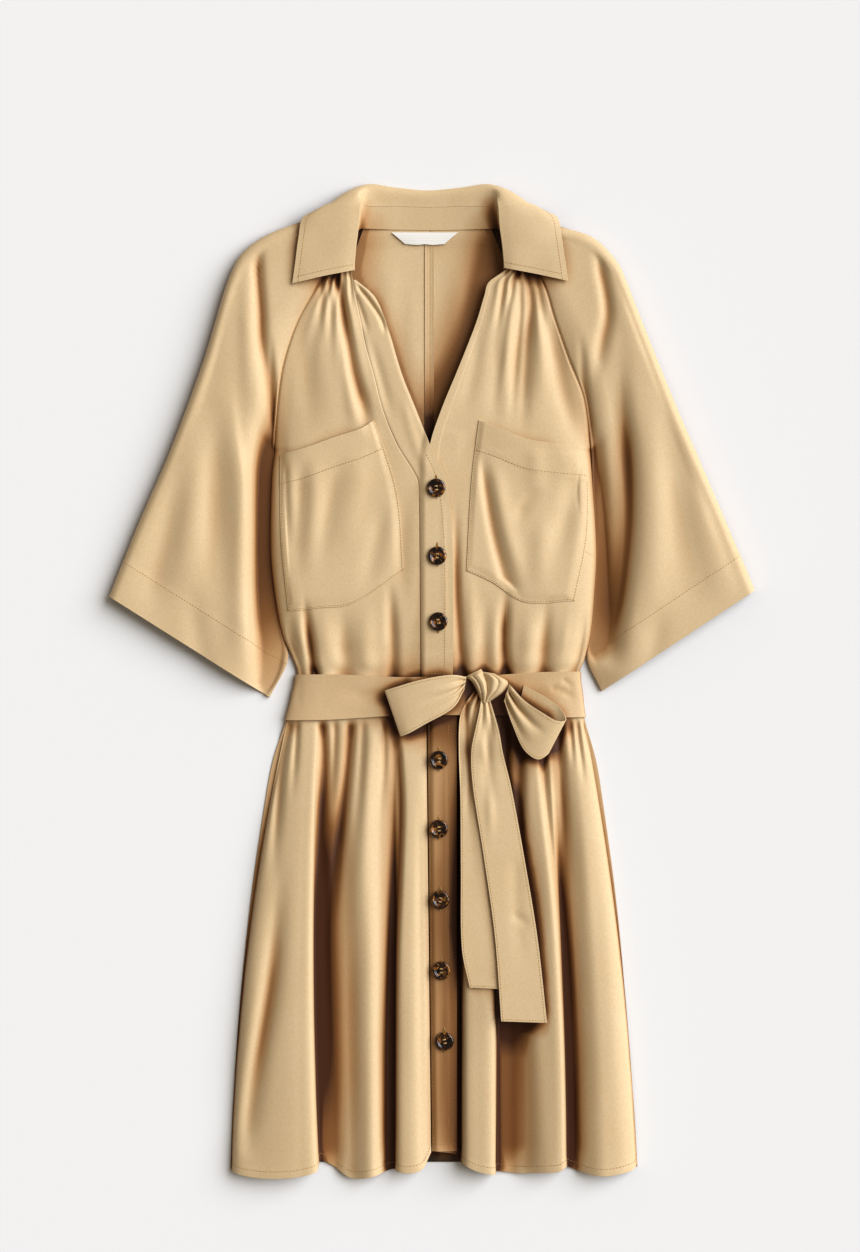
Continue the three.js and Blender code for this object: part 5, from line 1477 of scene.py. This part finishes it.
def strandPaths(centre, turn):
    # two bars of thread, three strands each, across the dish
    b = buttonShape
    paths = []
    for side in (-1, 1):
        for strand in (-0.42, 0.0, 0.42):
            t = np.linspace(-1, 1, 9)
            x = t * b["spacing"]
            y = np.full(9, side * b["spacing"] + strand)
            z = b["floor"] + b["arch"] * np.sqrt(np.clip(1 - np.abs(t) ** 3, 0, 1)) - 0.35
            cx = centre[0] + x * math.cos(turn) - y * math.sin(turn)
            cy = centre[1] + x * math.sin(turn) + y * math.cos(turn)
            paths.append(np.stack([cx, cy, centre[2] + z], axis=-1))
    return paths


def strandTubes(paths, sides=7):
    vertices, faces = [], []
    for path in paths:
        base = len(vertices)
        ahead = np.gradient(path, axis=0)
        ahead /= np.linalg.norm(ahead, axis=-1, keepdims=True)
        side = np.cross(ahead, [0, 0, 1.0])
        side /= np.linalg.norm(side, axis=-1, keepdims=True)
        up = np.cross(side, ahead)
        for p, s, q in zip(path, side, up):
            for k in range(sides):
                angle = 2 * math.pi * k / sides
                vertices.append(p + buttonShape["strand"] * (s * math.cos(angle) + q * math.sin(angle)))
        for i in range(len(path) - 1):
            this, following = base + i * sides, base + (i + 1) * sides
            for k in range(sides):
                n = (k + 1) % sides
                faces.append((this + k, this + n, following + n, following + k))
        faces.append(tuple(base + k for k in range(sides - 1, -1, -1)))
        faces.append(tuple(base + (len(path) - 1) * sides + k for k in range(sides)))
    strands = newObject("button_threads", np.array(vertices) * metre, faces, buttonThread)
    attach(strands, "root")


def buttons():
    drilled = buttonMesh()
    threads = []
    for n, (across, down) in enumerate(buttonPlaces):
        spot = np.array([[float(across)]]), np.array([[float(down)]])
        if down < dress["beltTop"]:
            band = float(bandLift(*spot)[0, 0])
        else:
            band = float(skirtBandLift(*spot)[0][0, 0])
        turn = math.radians(buttonTurns[n])
        obj = bpy.data.objects.new("button_%d_resin" % (n + 1), drilled.copy())
        bpy.context.scene.collection.objects.link(obj)
        obj.data.transform(Matrix.Rotation(turn, 4, "Z"))
        centre = place(across, down, band + half + buttonShape["lift"])
        for vertex in obj.data.vertices:
            vertex.co.x += centre[0] * metre
            vertex.co.y += centre[1] * metre
            vertex.co.z += centre[2] * metre
        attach(obj, "root")
        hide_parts("button_%d" % (n + 1))
        threads += strandPaths(centre, turn)
        buttonhole(across, down, band)
    strandTubes(threads)
    print("Buttons made")


# The neck label: blank satin tape, its ends cut on the slant
labelShape = {"top": (-39, 25), "bottom": (-26, 12), "down": (46.5, 57.5), "thickness": 0.35}


def label():
    v, u = steps(14)[:, None], steps(40)[None, :]
    s = labelShape
    across = mix(mix(s["top"][0], s["bottom"][0], v), mix(s["top"][1], s["bottom"][1], v), u)
    flat = mix(float(s["down"][0]), s["down"][1], v)
    sag = np.sin(math.pi * u) * v
    down = flat + 1.1 * sag - 0.8 * bump(u, 0.5, 0.12) * v
    lift = backLift(flat) + half + 0.9 + 0.5 * sag
    grid = place(across, down, lift)
    clothPiece("neck_label", grid, labelSatin, s["thickness"])
    print("Label made")


backs()
frontBodices()
bodiceBand()
skirtFronts()
skirtBand()
bothSleeves()
bothPockets()
collar()
belt()
bow()
buttons()
label()
finishStitching("topstitching", sewingThread)


# Light that has bounced inside a crease comes back warmer and weaker, so each place keeps how far it
# lies below the cloth around it: 0 on the level, 1 in a deep crease; the cloth's colour takes painted
# shade from it. The table below lays more painted shade, and a painted shadow inside the neck opening,
# along given lines on some pieces.
paintedShades = {
    "skirt_front_left_cloth": [
        {"path": [(-107, 515), (-105, 600), (-108, 700), (-108, 766), (-107, 827), (-105, 886), (-103, 934)],
         "wide": 8, "rise": 0.55, "lean": 0.5, "fade": (0.45, 0.3), "spread": 0},
        {"path": [(-90, 560), (-88, 700), (-84, 830), (-80, 940)], "wide": 24, "rise": 0.24, "lean": 0.2,
         "fade": (0.3, 0.3), "spread": 0},
        {"path": [(-78, 515), (-88, 600), (-96, 676)], "wide": 7, "rise": 0.25, "fade": (0.1, 0.4)},
        {"path": [(-35, 530), (-30, 620), (-34, 766), (-38, 840), (-40, 945)], "wide": 7, "rise": 0.3,
         "lean": -0.3, "fade": (0.2, 0.1)},
        {"path": [(-140, 690), (-158, 800), (-176, 892)], "wide": 7, "rise": 0.2, "fade": (0.4, 0.3)},
    ],
    "skirt_front_right_cloth": [
        {"path": [(86, 640), (84, 760), (88, 850), (94, 950)], "wide": 20, "rise": 0.16, "lean": 0.3,
         "fade": (0.2, 0.1), "spread": 0},
        {"path": [(132, 530), (130, 700), (132, 945)], "wide": 6, "rise": 0.15, "fade": (0.1, 0.05)},
    ],
    "back_bodice_right_cloth": [
        {"path": [(84, 70), (56, 96), (46, 140), (24, 210), (4, 262)], "wide": 34, "rise": 0.42,
         "fade": (0.1, 0)},
    ],
    "sleeve_right_cloth": [
        {"path": [(186, 200), (190, 260), (191, 310), (188, 350), (182, 400), (174, 450)], "wide": 9,
         "rise": 0.3, "lean": -0.5, "fade": (0.3, 0.2)},
    ],
}
# The height map's corner, cells and their size; how far around a place is its near and its wide level,
# how deep below each counts as 1, what still counts as flat, and for some pieces how much painted shade
# is added or taken away, and the most it may reach
hollows = {"corner": (-360.0, -520.0), "cells": (190, 270), "cell": 4.0, "near": 12.0, "nearDeep": 6.5,
           "wide": 34.0, "wideDeep": 13.0, "flat": 0.9,
           "shadeByPiece": {"centre_back_allowances": (0.1, 1), "back_bodice_left_cloth": (-0.12, 0.5),
                       "back_bodice_right_cloth": (0.0, 0.62), "belt_cloth": (0.1, 1),
                       "button_band_skirt_cloth": (0.36, 1)}}


def measureHollows():
    cell = hollows["cell"]
    corner = np.array(hollows["corner"])
    height = np.full(hollows["cells"], -1.0)
    for piece, points in shells:
        ix, iy = ((points[:, :2] - corner) / cell).astype(int).T
        np.maximum.at(height, (ix, iy), points[:, 2])
    around = np.max([np.roll(height, (i, j), (0, 1)) for i in (-1, 0, 1) for j in (-1, 0, 1)], axis=0)
    height = np.maximum(np.where(height < 0, around, height), 0)
    near, wide = height, height
    for axis in (0, 1):
        near = blurred(near, int(hollows["near"] / cell), axis)
        wide = blurred(wide, int(hollows["wide"] / cell), axis)
    for piece, points in shells:
        ix, iy = ((points[:, :2] - corner) / cell).T
        i, j = ix.astype(int), iy.astype(int)
        a, b = ix - i, iy - j

        def read(field):
            low = field[i, j] * (1 - a) + field[i + 1, j] * a
            high = field[i, j + 1] * (1 - a) + field[i + 1, j + 1] * a
            return low * (1 - b) + high * b - points[:, 2] - hollows["flat"]

        depth = np.maximum(read(near) / hollows["nearDeep"], read(wide) / hollows["wideDeep"])
        # painted shade laid along the listed lines of this piece
        if piece.name in paintedShades:
            down = dress["length"] / 2 - points[:, 1]
            depth = depth + creased(points[:, 0], down, paintedShades[piece.name])
        # painted shade shifted piece by piece, and held below its most
        more, most = hollows["shadeByPiece"].get(piece.name, (0, 1))
        depth = np.clip(np.maximum(depth, 0) + more, 0, most)
        layer = piece.data.attributes.new("creaseShade", "FLOAT", "POINT")
        layer.data.foreach_set("value", depth.astype(np.float32))
    print("Hollows measured on", len(shells), "pieces of cloth")


measureHollows()

# Table, light and camera

studio = {"table": "#EBEBEB", "tableSize": 40.0, "fill": "#FFF3E0", "ambient": 0.36, "lamp": "#F4F8FF",
          "key": 4.12, "keyHeight": 39, "keyFrom": 24, "keySpread": 56, "gamma": 0.72}


def table():
    size = studio["tableSize"]
    corners = np.array([(-size, -size, 0), (size, -size, 0), (size, size, 0), (-size, size, 0)], float)
    material, _, surface, _ = newMaterial("matt_painted_board")
    surface.inputs["Base Color"].default_value = linear(studio["table"])
    surface.inputs["Roughness"].default_value = 0.9
    floor = newObject("table_top", corners, [(0, 1, 2, 3)], material, smooth=False)


def lights():
    world = bpy.data.worlds.new("studio")
    bpy.context.scene.world = world
    world.use_nodes = True
    backdrop = world.node_tree.nodes["Background"]
    backdrop.inputs["Color"].default_value = linear(studio["fill"])
    backdrop.inputs["Strength"].default_value = studio["ambient"]
    lamp = bpy.data.lights.new("key", "SUN")
    lamp.energy = studio["key"]
    lamp.angle = math.radians(studio["keySpread"])
    lamp.color = linear(studio["lamp"])[:3]
    key = bpy.data.objects.new("key", lamp)
    key.rotation_mode = "ZYX"
    key.rotation_euler = (0, math.radians(90 - studio["keyHeight"]), math.radians(studio["keyFrom"]))
    key.rotation_mode = "XYZ"
    bpy.context.scene.collection.objects.link(key)


view = {"centre": (-0.0019, 0.0527), "height": 1.2019, "lens": 85, "focus": 0.012}


def camera():
    data = bpy.data.cameras.new("camera")
    data.lens = view["lens"]
    data.sensor_width = 36
    data.clip_end = 50
    eye = bpy.data.objects.new("camera", data)
    distance = view["height"] * view["lens"] / data.sensor_width
    eye.location = (view["centre"][0], view["centre"][1], view["focus"] + distance)
    bpy.context.scene.collection.objects.link(eye)
    bpy.context.scene.camera = eye


table()
lights()
camera()
bpy.context.scene.view_settings.view_transform = "Standard"
# a little contrast, as the photograph was developed
bpy.context.scene.view_settings.gamma = studio["gamma"]
print("Table, light and camera placed")
